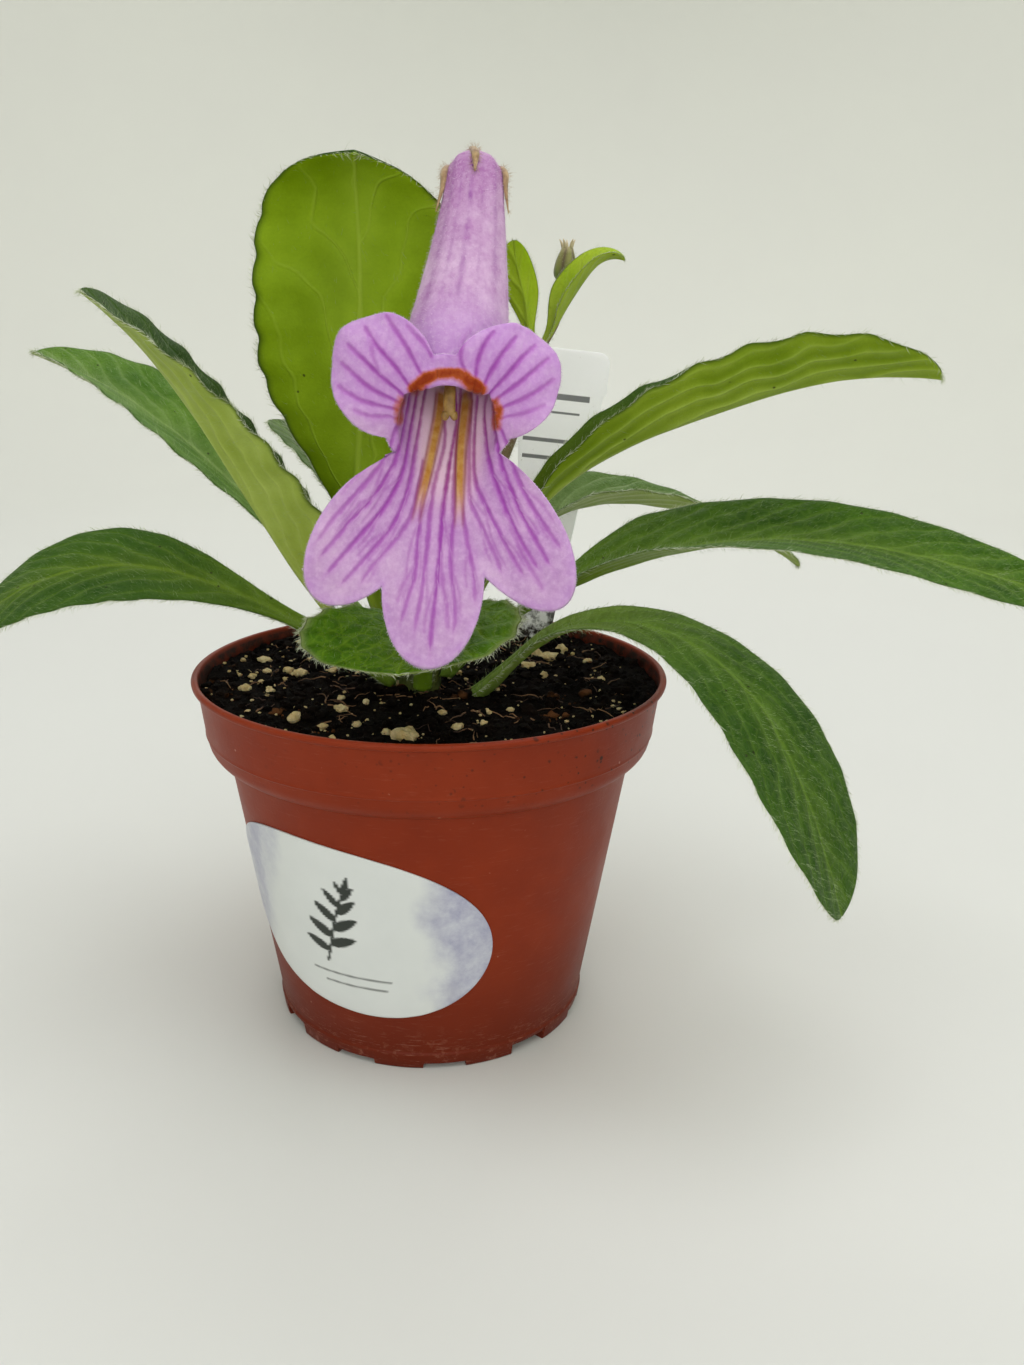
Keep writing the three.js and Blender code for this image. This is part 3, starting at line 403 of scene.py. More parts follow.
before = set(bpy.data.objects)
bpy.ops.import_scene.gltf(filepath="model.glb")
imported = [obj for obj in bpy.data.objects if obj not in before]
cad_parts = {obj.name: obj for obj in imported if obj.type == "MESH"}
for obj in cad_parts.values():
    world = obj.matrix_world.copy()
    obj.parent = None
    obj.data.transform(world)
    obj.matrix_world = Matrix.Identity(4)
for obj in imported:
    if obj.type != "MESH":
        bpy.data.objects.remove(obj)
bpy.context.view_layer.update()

# ---------------------------------------------------------------- leaves (the same numbers as the solids)
CROWN_AXIS = (-2, 0)
LEAF_START = 4.2
STALK_HALF_WIDTH = 1.6
STALK_THICKNESS = 2.4
STALK_FOLD = 0.4
TOOTH_DEPTH = 0.024
MARGIN_WAVE = 0.05
BRACT_STALK_HALF_WIDTH = 0.8
LEAVES = [
    dict(name="leaf_erect", height=63, heading=[-132, -128, -106, -84], rise=[58, 69, 96, 91, 82, 10],
         roll=[6, -2, -6], fold=[29, -8, -10], length=84, width=33, stalk=0.22, widest=0.5, blunt=3, teeth=11),
    dict(name="leaf_left_folded", height=60.5, heading=[212, 204, 204, 198], rise=[36, 54, 59, 56, 39],
         roll=[-15, -10, -15], fold=[62, 46, 13], length=77, width=22, stalk=0.2, widest=0.3, blunt=2.2,
         teeth=9),
    dict(name="leaf_left_back", height=61.5, heading=[154, 159, 159, 163], rise=[46, 42, 40, 29, 17],
         roll=[-15, -13, -4], fold=[37, 26, 23], length=85.5, width=20.5, stalk=0.2, widest=0.56, blunt=2.2,
         teeth=9),
    dict(name="leaf_left_low", height=58, heading=[182, 187, 186, 179], rise=[40, 30, 18, -16, -50],
         roll=[-40, -33, -19], fold=[9, 6, -3], length=78, width=18.6, stalk=0.24, widest=0.6, blunt=2.2,
         teeth=9),
    dict(name="leaf_front", height=58.5, heading=[-84, -93, -108], rise=[69, 41, -2, -23], roll=[0, 3, 8],
         fold=[28, 22, 3], length=40, width=33.5, stalk=0.3, widest=0.72, blunt=2.4, teeth=9),
    dict(name="leaf_right_high", height=62.5, heading=[-2, -3, -13, -28], rise=[69, 54, 25, 17, -5],
         roll=[39, 5, -20], fold=[40, 54, 19], length=98, width=23.5, stalk=0.15, widest=0.68, blunt=2.2,
         teeth=10),
    dict(name="leaf_right_back", height=60.5, heading=[41, 33, 24, 22], rise=[62, 36, -2, -19, -33],
         roll=[7, 7, 3], fold=[56, 31, 11], length=99, width=16, stalk=0.15, widest=0.35, blunt=2.2, teeth=9),
    dict(name="leaf_right_long", height=59.6, heading=[-14, -10, -9, -9], rise=[51, 27, 6, -11, -18],
         roll=[-9, 17, 39], fold=[43, 23, 3], length=112, width=18.9, stalk=0.14, widest=0.29, blunt=2.2,
         teeth=10),
    dict(name="leaf_right_drooping", height=57.8, heading=[-40, -29, -41, -35], rise=[33, 27, -19, -58, -73],
         roll=[22, 10, 1], fold=[59, 0, 12], length=96, width=22, stalk=0.15, widest=0.76, blunt=2.2,
         teeth=10, foot_shift=[4.2, -3.6, -1], stalk_half=2.1),
    dict(name="leaf_small_back", height=62.5, heading=[112, 130, 141], rise=[64, 48, 34, 22], roll=[0, 0, 0],
         fold=[35, 25, 12], length=56.5, width=14, stalk=0.25, widest=0.5, blunt=2.2, teeth=7),
]
BRACTS = [
    dict(name="bract_left", root=[15.6, -3.4, 113.6], heading=[190, 190, 190], rise=[84, 80, 74, 88],
         roll=[82, 82, 82], fold=[30, 18, 5], length=16.5, width=5.4, stalk=0.1, widest=0.55, blunt=2.2,
         teeth=0),
    dict(name="bract_right", root=[16.8, -3, 113.2], heading=[-4, -2, 0], rise=[62, 60, 56, 44, -20],
         roll=[30, 25, 10], fold=[56, 52, 30], length=20.5, width=7.4, stalk=0.12, widest=0.45, blunt=2.2,
         teeth=0),
]
# How each leaf looks: upper face dark and light, lower face dark and light, the slope and spacing of its side
# veins, how deep its teeth and its edge's waves are, how puckered it is, how much pale hair streaking and painted
# sheen it has, and its hairs
LEAF_LOOKS = {
    # leaf_erect's lower face is bright yellow-green: painted light shining through the blade from behind
    "leaf_erect": dict(upper=(srgb(40, 66, 18), srgb(66, 92, 34)), lower=(srgb(122, 152, 4), srgb(146, 178, 26)),
                       vein=srgb(158, 184, 58), slope=2.2, spacing=17, tooth=0.6, wave=0.25, pucker=0.0,
                       hairs_and_sheen=0.1, hairs=2200, edge=srgb(40, 66, 12), ridge=0.35, foot=srgb(44, 72, 0), lines=0.3,
                       top_vein=srgb(80, 112, 34)),
    "leaf_left_folded": dict(upper=(srgb(36, 66, 10), srgb(60, 90, 24)),
                             lower=(srgb(140, 160, 54), srgb(170, 188, 92)), vein=srgb(178, 194, 104), slope=6,
                             spacing=17, tooth=0.8, wave=0.7, pucker=0.3, hairs_and_sheen=0.15, hairs=3000,
                             edge=srgb(44, 70, 18), ridge=0.4, foot=srgb(166, 184, 70), top_vein=srgb(64, 92, 28)),
    "leaf_left_back": dict(upper=(srgb(56, 100, 2), srgb(100, 138, 40)),
                           lower=(srgb(112, 136, 44), srgb(150, 168, 84)), vein=srgb(136, 162, 92), slope=2.6,
                           spacing=8, tooth=0.6, wave=0.5, pucker=0.7, hairs_and_sheen=1.1, hairs=2400,
                           edge=srgb(54, 84, 26)),
    "leaf_left_low": dict(upper=(srgb(36, 74, 0), srgb(62, 98, 14)),
                          lower=(srgb(112, 136, 44), srgb(150, 168, 84)), vein=srgb(110, 136, 40), slope=2.6,
                          spacing=8, tooth=0.35, wave=0.2, pucker=0.6, hairs_and_sheen=0.8, hairs=2400,
                          edge=srgb(60, 88, 30), foot=srgb(120, 146, 30)),
    "leaf_front": dict(upper=(srgb(52, 94, 0), srgb(88, 128, 10)),
                       lower=(srgb(112, 136, 44), srgb(150, 168, 84)), vein=srgb(122, 158, 34), slope=1.2,
                       spacing=5.5, tooth=0.35, wave=0.35, pucker=1.3, hairs_and_sheen=0.15, hairs=3600,
                       edge=srgb(128, 140, 84), foot=srgb(96, 132, 16)),
    "leaf_right_high": dict(upper=(srgb(38, 70, 6), srgb(60, 92, 20)),
                            lower=(srgb(120, 148, 14), srgb(152, 176, 48)), vein=srgb(180, 200, 96), slope=9,
                            spacing=27, tooth=0.8, wave=0.6, pucker=0.3, hairs_and_sheen=0.1, hairs=2600,
                            edge=srgb(48, 76, 14), ridge=0.85, foot=srgb(132, 156, 30), top_vein=srgb(66, 94, 24)),
    "leaf_right_back": dict(upper=(srgb(70, 104, 34), srgb(100, 128, 62)),
                            lower=(srgb(132, 156, 60), srgb(158, 178, 90)), vein=srgb(140, 160, 104), slope=2.6,
                            spacing=8, tooth=0.5, wave=0.4, pucker=0.8, hairs_and_sheen=0.7, hairs=1800,
                            edge=srgb(62, 90, 34)),
    "leaf_right_long": dict(upper=(srgb(34, 72, 0), srgb(70, 110, 10)),
                            lower=(srgb(118, 146, 34), srgb(146, 168, 66)), vein=srgb(118, 148, 56), slope=2.8,
                            spacing=8.5, tooth=0.35, wave=0.2, pucker=0.9, hairs_and_sheen=1.0, hairs=4200,
                            edge=srgb(70, 100, 44), foot=srgb(104, 136, 34)),
    "leaf_right_drooping": dict(upper=(srgb(30, 66, 0), srgb(56, 92, 4)),
                                lower=(srgb(118, 144, 34), srgb(150, 172, 74)), vein=srgb(100, 130, 44),
                                slope=2.6, spacing=9, tooth=0.45, wave=0.2, pucker=1.0, hairs_and_sheen=0.8, hairs=4200,
                                edge=srgb(66, 96, 34), foot=srgb(152, 176, 84)),
    "leaf_small_back": dict(upper=(srgb(58, 84, 28), srgb(90, 114, 58)),
                            lower=(srgb(112, 136, 44), srgb(150, 168, 84)), vein=srgb(120, 144, 84), slope=2,
                            spacing=7, tooth=0.6, wave=0.5, pucker=0.8, hairs_and_sheen=0.8, hairs=800,
                            edge=srgb(54, 84, 26)),
    "bract_left": dict(upper=(srgb(146, 182, 6), srgb(176, 204, 44)), lower=(srgb(146, 180, 10), srgb(176, 202, 50)),
                       vein=srgb(150, 176, 50), slope=2, spacing=4, tooth=0, wave=0, pucker=0.2, hairs_and_sheen=0.1,
                       hairs=800, edge=srgb(84, 112, 10), ridge=0.3),
    "bract_right": dict(upper=(srgb(150, 182, 20), srgb(182, 204, 62)),
                        lower=(srgb(150, 180, 24), srgb(184, 204, 70)), vein=srgb(160, 180, 70), slope=2, spacing=4,
                        tooth=0, wave=0, pucker=0.2, hairs_and_sheen=0.1, hairs=1000, edge=srgb(92, 116, 20), ridge=0.3),
}


def leaf_half_width(leaf, t):
    along = np.clip((t - leaf["stalk"]) / (1 - leaf["stalk"]), 0, 1)
    full = leaf["width"] / 2
    narrow = BRACT_STALK_HALF_WIDTH if "root" in leaf else leaf.get("stalk_half", STALK_HALF_WIDTH)
    widening = narrow + (full - narrow) * (0.5 - 0.5 * np.cos(np.pi * along / leaf["widest"]))
    past = np.clip((along - leaf["widest"]) / (1 - leaf["widest"]), 0, 1)
    return np.where(along < leaf["widest"], widening, full * np.sqrt(np.maximum(1 - past ** leaf["blunt"], 0)))


def leaf_spine(leaf, steps=120):
    heading = math.radians(leaf["heading"][0])
    start = leaf.get("root") or [CROWN_AXIS[0] + LEAF_START * math.cos(heading),
                                 CROWN_AXIS[1] + LEAF_START * math.sin(heading), leaf["height"]]

    def direction(t):
        h, r = np.radians(track(leaf["heading"], t)), np.radians(track(leaf["rise"], t))
        return np.stack([np.cos(r) * np.cos(h), np.cos(r) * np.sin(h), np.sin(r)], -1)

    t = np.arange(steps + 1) / steps
    places = np.array(start) + np.concatenate(
        [np.zeros((1, 3)), np.cumsum(direction(t[1:] - 0.5 / steps) * leaf["length"] / steps, axis=0)])
    places += (1 - smoothstep(t, 0, 0.3))[:, None] * leaf.get("foot_shift", [0, 0, 0])
    h, roll = np.radians(track(leaf["heading"], t)), np.radians(track(leaf["roll"], t))[:, None]
    side = np.stack([-np.sin(h), np.cos(h), 0 * h], -1)
    up = np.cross(direction(t), side)
    return places, side * np.cos(roll) + up * np.sin(roll), up * np.cos(roll) - side * np.sin(roll)


def leaf_middle(leaf, t, s):
    """The leaf's middle surface at every t along it and s across it, and its half width at t."""
    places, sides, ups = leaf_spine(leaf)
    steps = len(places) - 1
    i = np.minimum((t * steps).astype(int), steps - 1)
    f = (t * steps - i)[:, None]
    place, side, up = [(v[i] * (1 - f) + v[i + 1] * f)[:, None] for v in (places, sides, ups)]
    along = np.maximum((t - leaf["stalk"]) / (1 - leaf["stalk"]), 0)[:, None]
    phase = TAU * leaf["teeth"] * along + np.where(s > 0, 0.5, 0)[None]
    blade = np.minimum(along * 4, 1)
    full = np.maximum(leaf_half_width(leaf, t), 0.25)[:, None]
    looks = LEAF_LOOKS[leaf["name"]]
    tooth = (0.5 + 0.5 * np.cos(phase)) ** 2.2
    half = full * (1 - blade * TOOTH_DEPTH * 2 * looks["tooth"] * tooth)
    fold = np.radians(track(leaf["fold"], t))[:, None] * (STALK_FOLD + (1 - STALK_FOLD) * blade)
    wave = blade * MARGIN_WAVE * looks["wave"] * full * np.cos(phase + 1.2) * s ** 2
    rounded = np.sqrt(s ** 2 + 0.004) - math.sqrt(0.004)
    grid = (place + side * (half * s * np.cos(fold))[..., None]
            + up * (half * rounded * np.sin(fold) + wave)[..., None])
    return grid, full


def leaf_look(name, looks, tones, raised, hairs_and_sheen):
    """One face of a leaf. Its flat coordinates are millimetres: across from the midrib, and along."""
    dark, light = tones
    vein = looks["vein"] if raised else looks.get("top_vein", looks["vein"])
    pucker = looks["pucker"] * (0.3 if raised else 1)
    look = Look(name, 0.5, Specular_IOR_Level=0.1)
    uv = look.uv()
    flat = look.node("ShaderNodeSeparateXYZ", {0: uv}).outputs
    across, along = look.maths("ABSOLUTE", flat["X"]), flat["Y"]
    slope, spacing = looks["slope"], looks["spacing"]
    apart = spacing / math.hypot(1, slope)
    sway = look.span(look.noise(0.09, 1, 0.5, vector=uv), 0.3, 0.7, -0.3, 0.3)
    phase = look.maths("DIVIDE", look.maths("SUBTRACT", along, look.maths("MULTIPLY", across, slope)), spacing)
    phase = look.maths("ADD", look.maths("ADD", phase, sway),
                       look.maths("MULTIPLY", look.maths("GREATER_THAN", flat["X"], 0.0), 0.4))
    away = look.maths("ABSOLUTE", look.maths("SUBTRACT", look.maths("FRACT", phase), 0.5))
    hump = look.maths("MULTIPLY", look.soft(away, 0.5, 0.0), look.value("blade"))
    side_vein = look.maths("MULTIPLY", look.soft(away, 0.42 / apart, 0.02 / apart), look.value("blade"))
    rib = look.soft(look.maths("DIVIDE", across, look.value("rib_half")), 1.0, 0.15)
    beside_rib = look.soft(look.value("out"), 0.5, 0.0)
    branch = look.cells(0.42, vector=uv, feature="DISTANCE_TO_EDGE", randomness=0.85)
    net = look.cells(1.3, vector=uv, feature="DISTANCE_TO_EDGE", randomness=0.9)
    twig = look.maths("MULTIPLY", look.soft(branch, 0.12, 0.0), look.value("blade"))
    pores = look.noise(2.6, 3, 0.6, vector=uv)
    patches = look.span(look.noise(0.2, 3, 0.6, vector=uv), 0.36, 0.66)
    base = look.mix(look.span(look.noise(0.09, 4, 0.62, vector=uv), 0.32, 0.68), dark, light)
    base = look.mix(look.span(pores, 0.4, 0.75, 0.0, 0.2 if raised else 0.4), base, tuple(0.62 * c for c in dark))
    base = look.mix(look.maths("MULTIPLY", look.value("low"), 0.6), base, looks.get("foot", vein))
    base = look.mix(look.maths("MULTIPLY", beside_rib, 0.2 if raised else 0.34), base, vein)
    ridge = looks.get("ridge", 0.6) if raised else 0.5
    # painted shade: darker in the valleys between the side veins
    valley_shade = look.maths("SUBTRACT", look.value("blade"), hump)
    base = look.mix(look.maths("MULTIPLY", valley_shade, 0.45 * ridge), base, tuple(0.66 * c for c in dark))
    swath = look.maths("MULTIPLY", look.maths("POWER", hump, 2.0), look.span(patches, 0.0, 1.0, 0.3, 1.0))
    base = look.mix(look.maths("MULTIPLY", swath, (0.5 if raised else 0.34) * ridge), base, vein)
    base = look.mix(look.maths("MULTIPLY", twig, 0.2 * pucker ** 2), base, vein)
    base = look.mix(look.maths("MULTIPLY", side_vein, looks.get("lines", 0.24)), base, vein)
    base = look.mix(look.maths("MULTIPLY", rib, 0.62), base, vein)
    base = look.mix(look.maths("MULTIPLY", look.value("stem"), 0.5), base, vein)
    if hairs_and_sheen > 0:
        # pale streaks of flat-lying hairs with a painted sheen, most on the vein humps and towards the margin
        streaks = look.span(look.noise(1.0, 4, 0.7, vector=uv, stretch=(3.4, 0.55, 1.0)), 0.42, 0.7)
        rimward = look.maths("MAXIMUM", look.maths("MULTIPLY", look.value("out"), 0.7),
                             look.maths("MULTIPLY", hump, 0.8))
        shine = look.maths("MULTIPLY", look.maths("MULTIPLY", streaks, rimward), look.span(patches, 0, 1, 0.35, 1))
        base = look.mix(look.maths("MULTIPLY", shine, 0.46 * hairs_and_sheen), base, srgb(134, 158, 108))
    base = look.mix(look.value("edge"), base, looks["edge"])
    specks = look.maths("MULTIPLY", look.soft(look.cells(0.3, vector=uv), 0.085, 0.05),
                        look.maths("GREATER_THAN", look.noise(0.13, 1, vector=uv), 0.5))
    base = look.mix(look.maths("MULTIPLY", specks, 0.8), base, srgb(34, 28, 12))
    look.set("Base Color", base)
    pillow = look.maths("MULTIPLY", look.span(net, 0.0, 0.4), 0.35 * pucker)
    swell = look.maths("MULTIPLY", look.span(branch, 0.0, 0.35), 0.9 * pucker ** 2)
    grain = look.maths("MULTIPLY", pores, 0.35 if raised else 0.8)
    relief = look.maths("MULTIPLY", hump, ridge if raised else -0.9 * looks["pucker"])
    veins = look.maths("MULTIPLY", look.maths("MAXIMUM", side_vein, rib), 0.5 if raised else -0.6)
    height = look.maths("ADD", look.maths("ADD", pillow, swell), look.maths("ADD", veins, grain))
    look.bump(look.maths("ADD", height, relief), depth=0.00022)
    return look.material


def hair_look(name, dark, light):
    """Fine hairs, some of them paler than others."""
    look = Look(name, 0.55, Specular_IOR_Level=0.2)
    look.set("Base Color", look.mix(look.span(look.noise(240, 2), 0.35, 0.65), dark, light))
    return look.material


HAIR_WHITE = hair_look("hair_white", srgb(168, 176, 138), srgb(214, 220, 196))
HAIR_GREEN = hair_look("hair_green", srgb(120, 144, 84), srgb(168, 184, 138))
HAIR_TAN = hair_look("hair_tan", srgb(148, 118, 86), srgb(196, 170, 130))
HAIR_PINK = hair_look("hair_pink", srgb(216, 186, 220), srgb(240, 220, 240))


def build_leaf(leaf, rows, columns, seed):
    name = leaf["name"]
    looks = LEAF_LOOKS[name]
    bract = "root" in leaf
    thin = 0.4 if bract else 1
    t = np.concatenate([np.linspace(0, 1 - 3.0 / rows, rows), 1 - 3.0 / rows * np.geomspace(0.75, 0.01, 8), [1]])
    s = np.sin(np.linspace(-1, 1, columns) * math.pi / 2 * 0.86) / math.sin(math.pi / 2 * 0.86)
    middle, half = leaf_middle(leaf, t, s)
    normals = surface_normals(middle)
    lateral = half * np.abs(s)
    along = (t * leaf["length"])[:, None] + 0 * lateral
    q = (along - looks["slope"] * lateral) / looks["spacing"] + np.where(s > 0, 0.4, 0) + 0.5
    blade = smoothstep(t, leaf["stalk"] * 0.8, leaf["stalk"] * 1.5)[:, None]
    rib_half = (0.35 + 0.75 * (1 - t))[:, None] * thin + 0 * lateral
    rib = np.exp(-(lateral / rib_half) ** 2) * (1 - t[:, None] ** 3)
    quilt = (0.5 - 0.5 * np.cos(TAU * (q - np.round(q)))) * blade * (1 - np.abs(s) ** 4)
    ripple = layered_noise(np.stack([along * 0.22, half * s * 0.3, 0 * along + 3.1], -1), 3, seed + 5)
    stalk = 1 - smoothstep(t, leaf["stalk"] * 0.5, leaf["stalk"] * 1.5)[:, None]
    round_half = np.sqrt(np.maximum(1 - s ** 2, 0))
    thickest = 0.35 if bract else STALK_THICKNESS / 2
    thick = stalk * thickest * round_half + (1 - stalk) * 0.27 * thin ** 0.5 * (1 - np.abs(s) ** 10) ** 0.5
    depth = (0.3 if bract else 1) * (0.4 + 0.6 * looks["pucker"])
    top = thick + depth * blade * (0.14 * quilt - 0.22 * rib + 0.09 * ripple) * (1 - s ** 6)
    top = top - stalk * 0.5 * thickest * np.exp(-(lateral / (0.5 * STALK_HALF_WIDTH)) ** 2)
    keel = (0.55 if bract else 0.85) * (1 - t)[:, None] * rib * blade
    bottom = thick + keel - depth * blade * (0.10 * quilt + 0.06 * ripple) * (1 - s ** 6)
    upper = middle + normals * top[..., None]
    lower = middle - normals * bottom[..., None]
    r, c = upper.shape[:2]
    rim = np.zeros((r, c), bool)
    rim[0] = rim[-1] = rim[:, 0] = rim[:, -1] = True
    upper[rim] = lower[rim] = middle[rim]
    index = np.arange(r * c).reshape(r, c)
    below = np.where(rim, index, r * c + np.cumsum(~rim).reshape(r, c) - 1)
    faces_up = grid_faces(r, c)
    faces_down = below.ravel()[grid_faces(r, c)][:, ::-1]
    points = np.concatenate([upper.reshape(-1, 3), lower[~rim]])

    def both(grid):
        grid = np.broadcast_to(grid, (r, c))
        return np.concatenate([grid.ravel(), grid[~rim]])

    edge = np.exp(-((1 - np.abs(s[None])) / 0.045) ** 2) * 0.8 * blade + 0 * lateral
    up = leaf_look(name + "_upper", looks, looks["upper"], False, looks["hairs_and_sheen"])
    down = leaf_look(name + "_lower", looks, looks["lower"], True, 0.35 * looks["hairs_and_sheen"])
    make(name + "_blade", points, [faces_up, faces_down], [up, down],
         face_material=[0] * len(faces_up) + [1] * len(faces_down),
         values={"blade": both(blade * (1 - 0.6 * np.abs(s) ** 3)), "rib_half": both(rib_half),
                 "stem": both(stalk + 0 * lateral), "edge": both(edge), "out": both(np.abs(s)[None] + 0 * lateral),
                 "low": both(1 - smoothstep(t, 0.15, 0.62)[:, None] + 0 * lateral)},
         uv=np.stack([both(half * s), both(along) + 137.0 * seed], -1), replaces=[name])
    leaf_hairs(leaf, upper, lower, looks["hairs"], seed)


def leaf_hairs(leaf, upper, lower, count, seed):
    name = leaf["name"]
    draw = np.random.default_rng(seed + 100)
    small = "root" in leaf
    scale = 0.55 if small else 1
    parts = []
    for face, share, sign in ((upper, 0.55, 1), (lower, 0.2, -1)):
        n = int(count * share)
        place, normal, along, _ = scatter(face, n, seed + 31 * sign + 50)
        normal = normal * sign
        lean = draw.uniform(0.6, 1.5, (n, 1)) * along + 0.45 * draw.normal(size=(n, 3))
        lengths = draw.uniform(0.45, 1.15, n) * scale
        parts.append(hairs(place, normal + 0.35 * lean, lengths, 0.03 * scale, seed + 3, lean=lean * 0.75))
    points, faces = join(parts)
    make(name + "_hairs", points, faces, [HAIR_GREEN])
    parts = []
    rim = 400 if small else int(1000 + 0.1 * count)
    for column, away in ((0, -1), (-1, 1)):
        line = upper[:, column]
        inner = upper[:, 2 if column == 0 else -3]
        place = np.linspace(0.02, 0.999, rim // 2) * (len(line) - 1)
        i = np.minimum(place.astype(int), len(line) - 2)
        f = (place - i)[:, None]
        root = line[i] * (1 - f) + line[i + 1] * f
        out = unit(root - inner[i])
        along = unit(line[i + 1] - line[i])
        direction = out + 0.35 * along + 0.45 * draw.normal(size=(len(i), 3))
        lengths = draw.uniform(0.45, 1.4, len(i)) * scale
        parts.append(hairs(root, direction, lengths, 0.07 * scale, seed + 7 + away,
                           lean=0.4 * along + 0.2 * draw.normal(size=(len(i), 3))))
    points, faces = join(parts)
    make(name + "_fringe", points, faces, [HAIR_WHITE])


for number, leaf in enumerate(LEAVES):
    build_leaf(leaf, 112, 35, number + 1)
for number, leaf in enumerate(BRACTS):
    build_leaf(leaf, 56, 19, number + 21)

# ---------------------------------------------------------------- flower
FACE_ORIGIN = np.array([2.1, -35, 104.7])
FACE_PITCH = math.radians(5)
FACE_SIDE = np.array([1.0, 0, 0])
FACE_OUT = np.array([0, -math.cos(FACE_PITCH), math.sin(FACE_PITCH)])
FACE_UP = np.array([0, math.sin(FACE_PITCH), math.cos(FACE_PITCH)])
LOBES = [((-8.4, 6.3), (8.1, 7.1), 108), ((7.6, 5.6), (7.9, 7.2), 40), ((-10.4, -14), (11.3, 6.4), 232),
         ((-1.9, -21), (11.4, 6.9), 265), ((7.8, -13.2), (13.2, 6.6), 307), ((0, 1), (8.8, 8), 0)]
MOUTH = dict(top=6.6, side=6.9, bottom=10)
MOUTH_DEPTH = dict(top=1, bottom=-3)
TUBE_RINGS = [[3.9, 33.6, -21, 2], [3.9, 34.3, -18.6, 3.1], [4, 33.4, -15.8, 3.8], [3.6, 28.5, -13.2, 4.3],
              [2.6, 19.5, -10.8, 5.7], [1.3, 10.5, -8, 7.1]]


def on_face(a, b, out):
    return (FACE_ORIGIN + np.asarray(a)[..., None] * FACE_SIDE + np.asarray(b)[..., None] * FACE_UP
            + np.asarray(out)[..., None] * FACE_OUT)


def margin_radius(angle):
    reach = []
    for centre, radii, turn in LOBES:
        c, s = math.cos(math.radians(turn)), math.sin(math.radians(turn))
        dx = (np.cos(angle) * c + np.sin(angle) * s) / radii[0]
        dy = (np.sin(angle) * c - np.cos(angle) * s) / radii[1]
        cx = (centre[0] * c + centre[1] * s) / radii[0]
        cy = (centre[1] * c - centre[0] * s) / radii[1]
        a, b = dx ** 2 + dy ** 2, dx * cx + dy * cy
        under = b * b - a * (cx * cx + cy * cy - 1)
        reach.append(np.where(under < 0, 0, (b + np.sqrt(np.maximum(under, 0))) / a))
    return np.max(reach, axis=0)


def mouth_radius(angle):
    high = np.where(np.sin(angle) > 0, MOUTH["top"], MOUTH["bottom"])
    return 1 / np.hypot(np.cos(angle) / MOUTH["side"], np.sin(angle) / high)


def limb(angle, w):
    mouth = mouth_radius(angle)
    radius = mouth + (margin_radius(angle) - mouth) * w
    beyond = radius - mouth
    upper = 1.6 * np.sin(np.minimum(beyond / 9, 1) * np.pi * 0.6) - 0.035 * beyond ** 2
    lower = 0.5 * beyond - 0.0085 * beyond ** 2
    share = smoothstep(np.sin(angle), -0.45, 0.35)
    edge = MOUTH_DEPTH["bottom"] + (MOUTH_DEPTH["top"] - MOUTH_DEPTH["bottom"]) * (0.5 + 0.5 * np.sin(angle))
    return on_face(radius * np.cos(angle), radius * np.sin(angle), edge + lower + (upper - lower) * share)


def tube_ring(k, angle):
    """The tube's wall at place k along its rings (not only whole ones)."""
    rings = np.array(TUBE_RINGS, float)
    last = len(rings) - 1
    a, b, out, radius = np.moveaxis(track(rings, k / last), -1, 0)
    before, after = track(rings, np.maximum(k - 0.5, 0) / last), track(rings, np.minimum(k + 0.5, last) / last)
    slope = np.arctan2(after[..., 2] - before[..., 2], before[..., 1] - after[..., 1])
    rise = radius * np.sin(angle)
    return on_face(a + radius * np.cos(angle), b + rise * np.sin(slope), out + rise * np.cos(slope))


def zoomed(points):
    """Places noted on an enlarged view of the flower, as pixels of the photograph's frame."""
    return np.asarray(points, float) / 3.7037 + [280, 140]


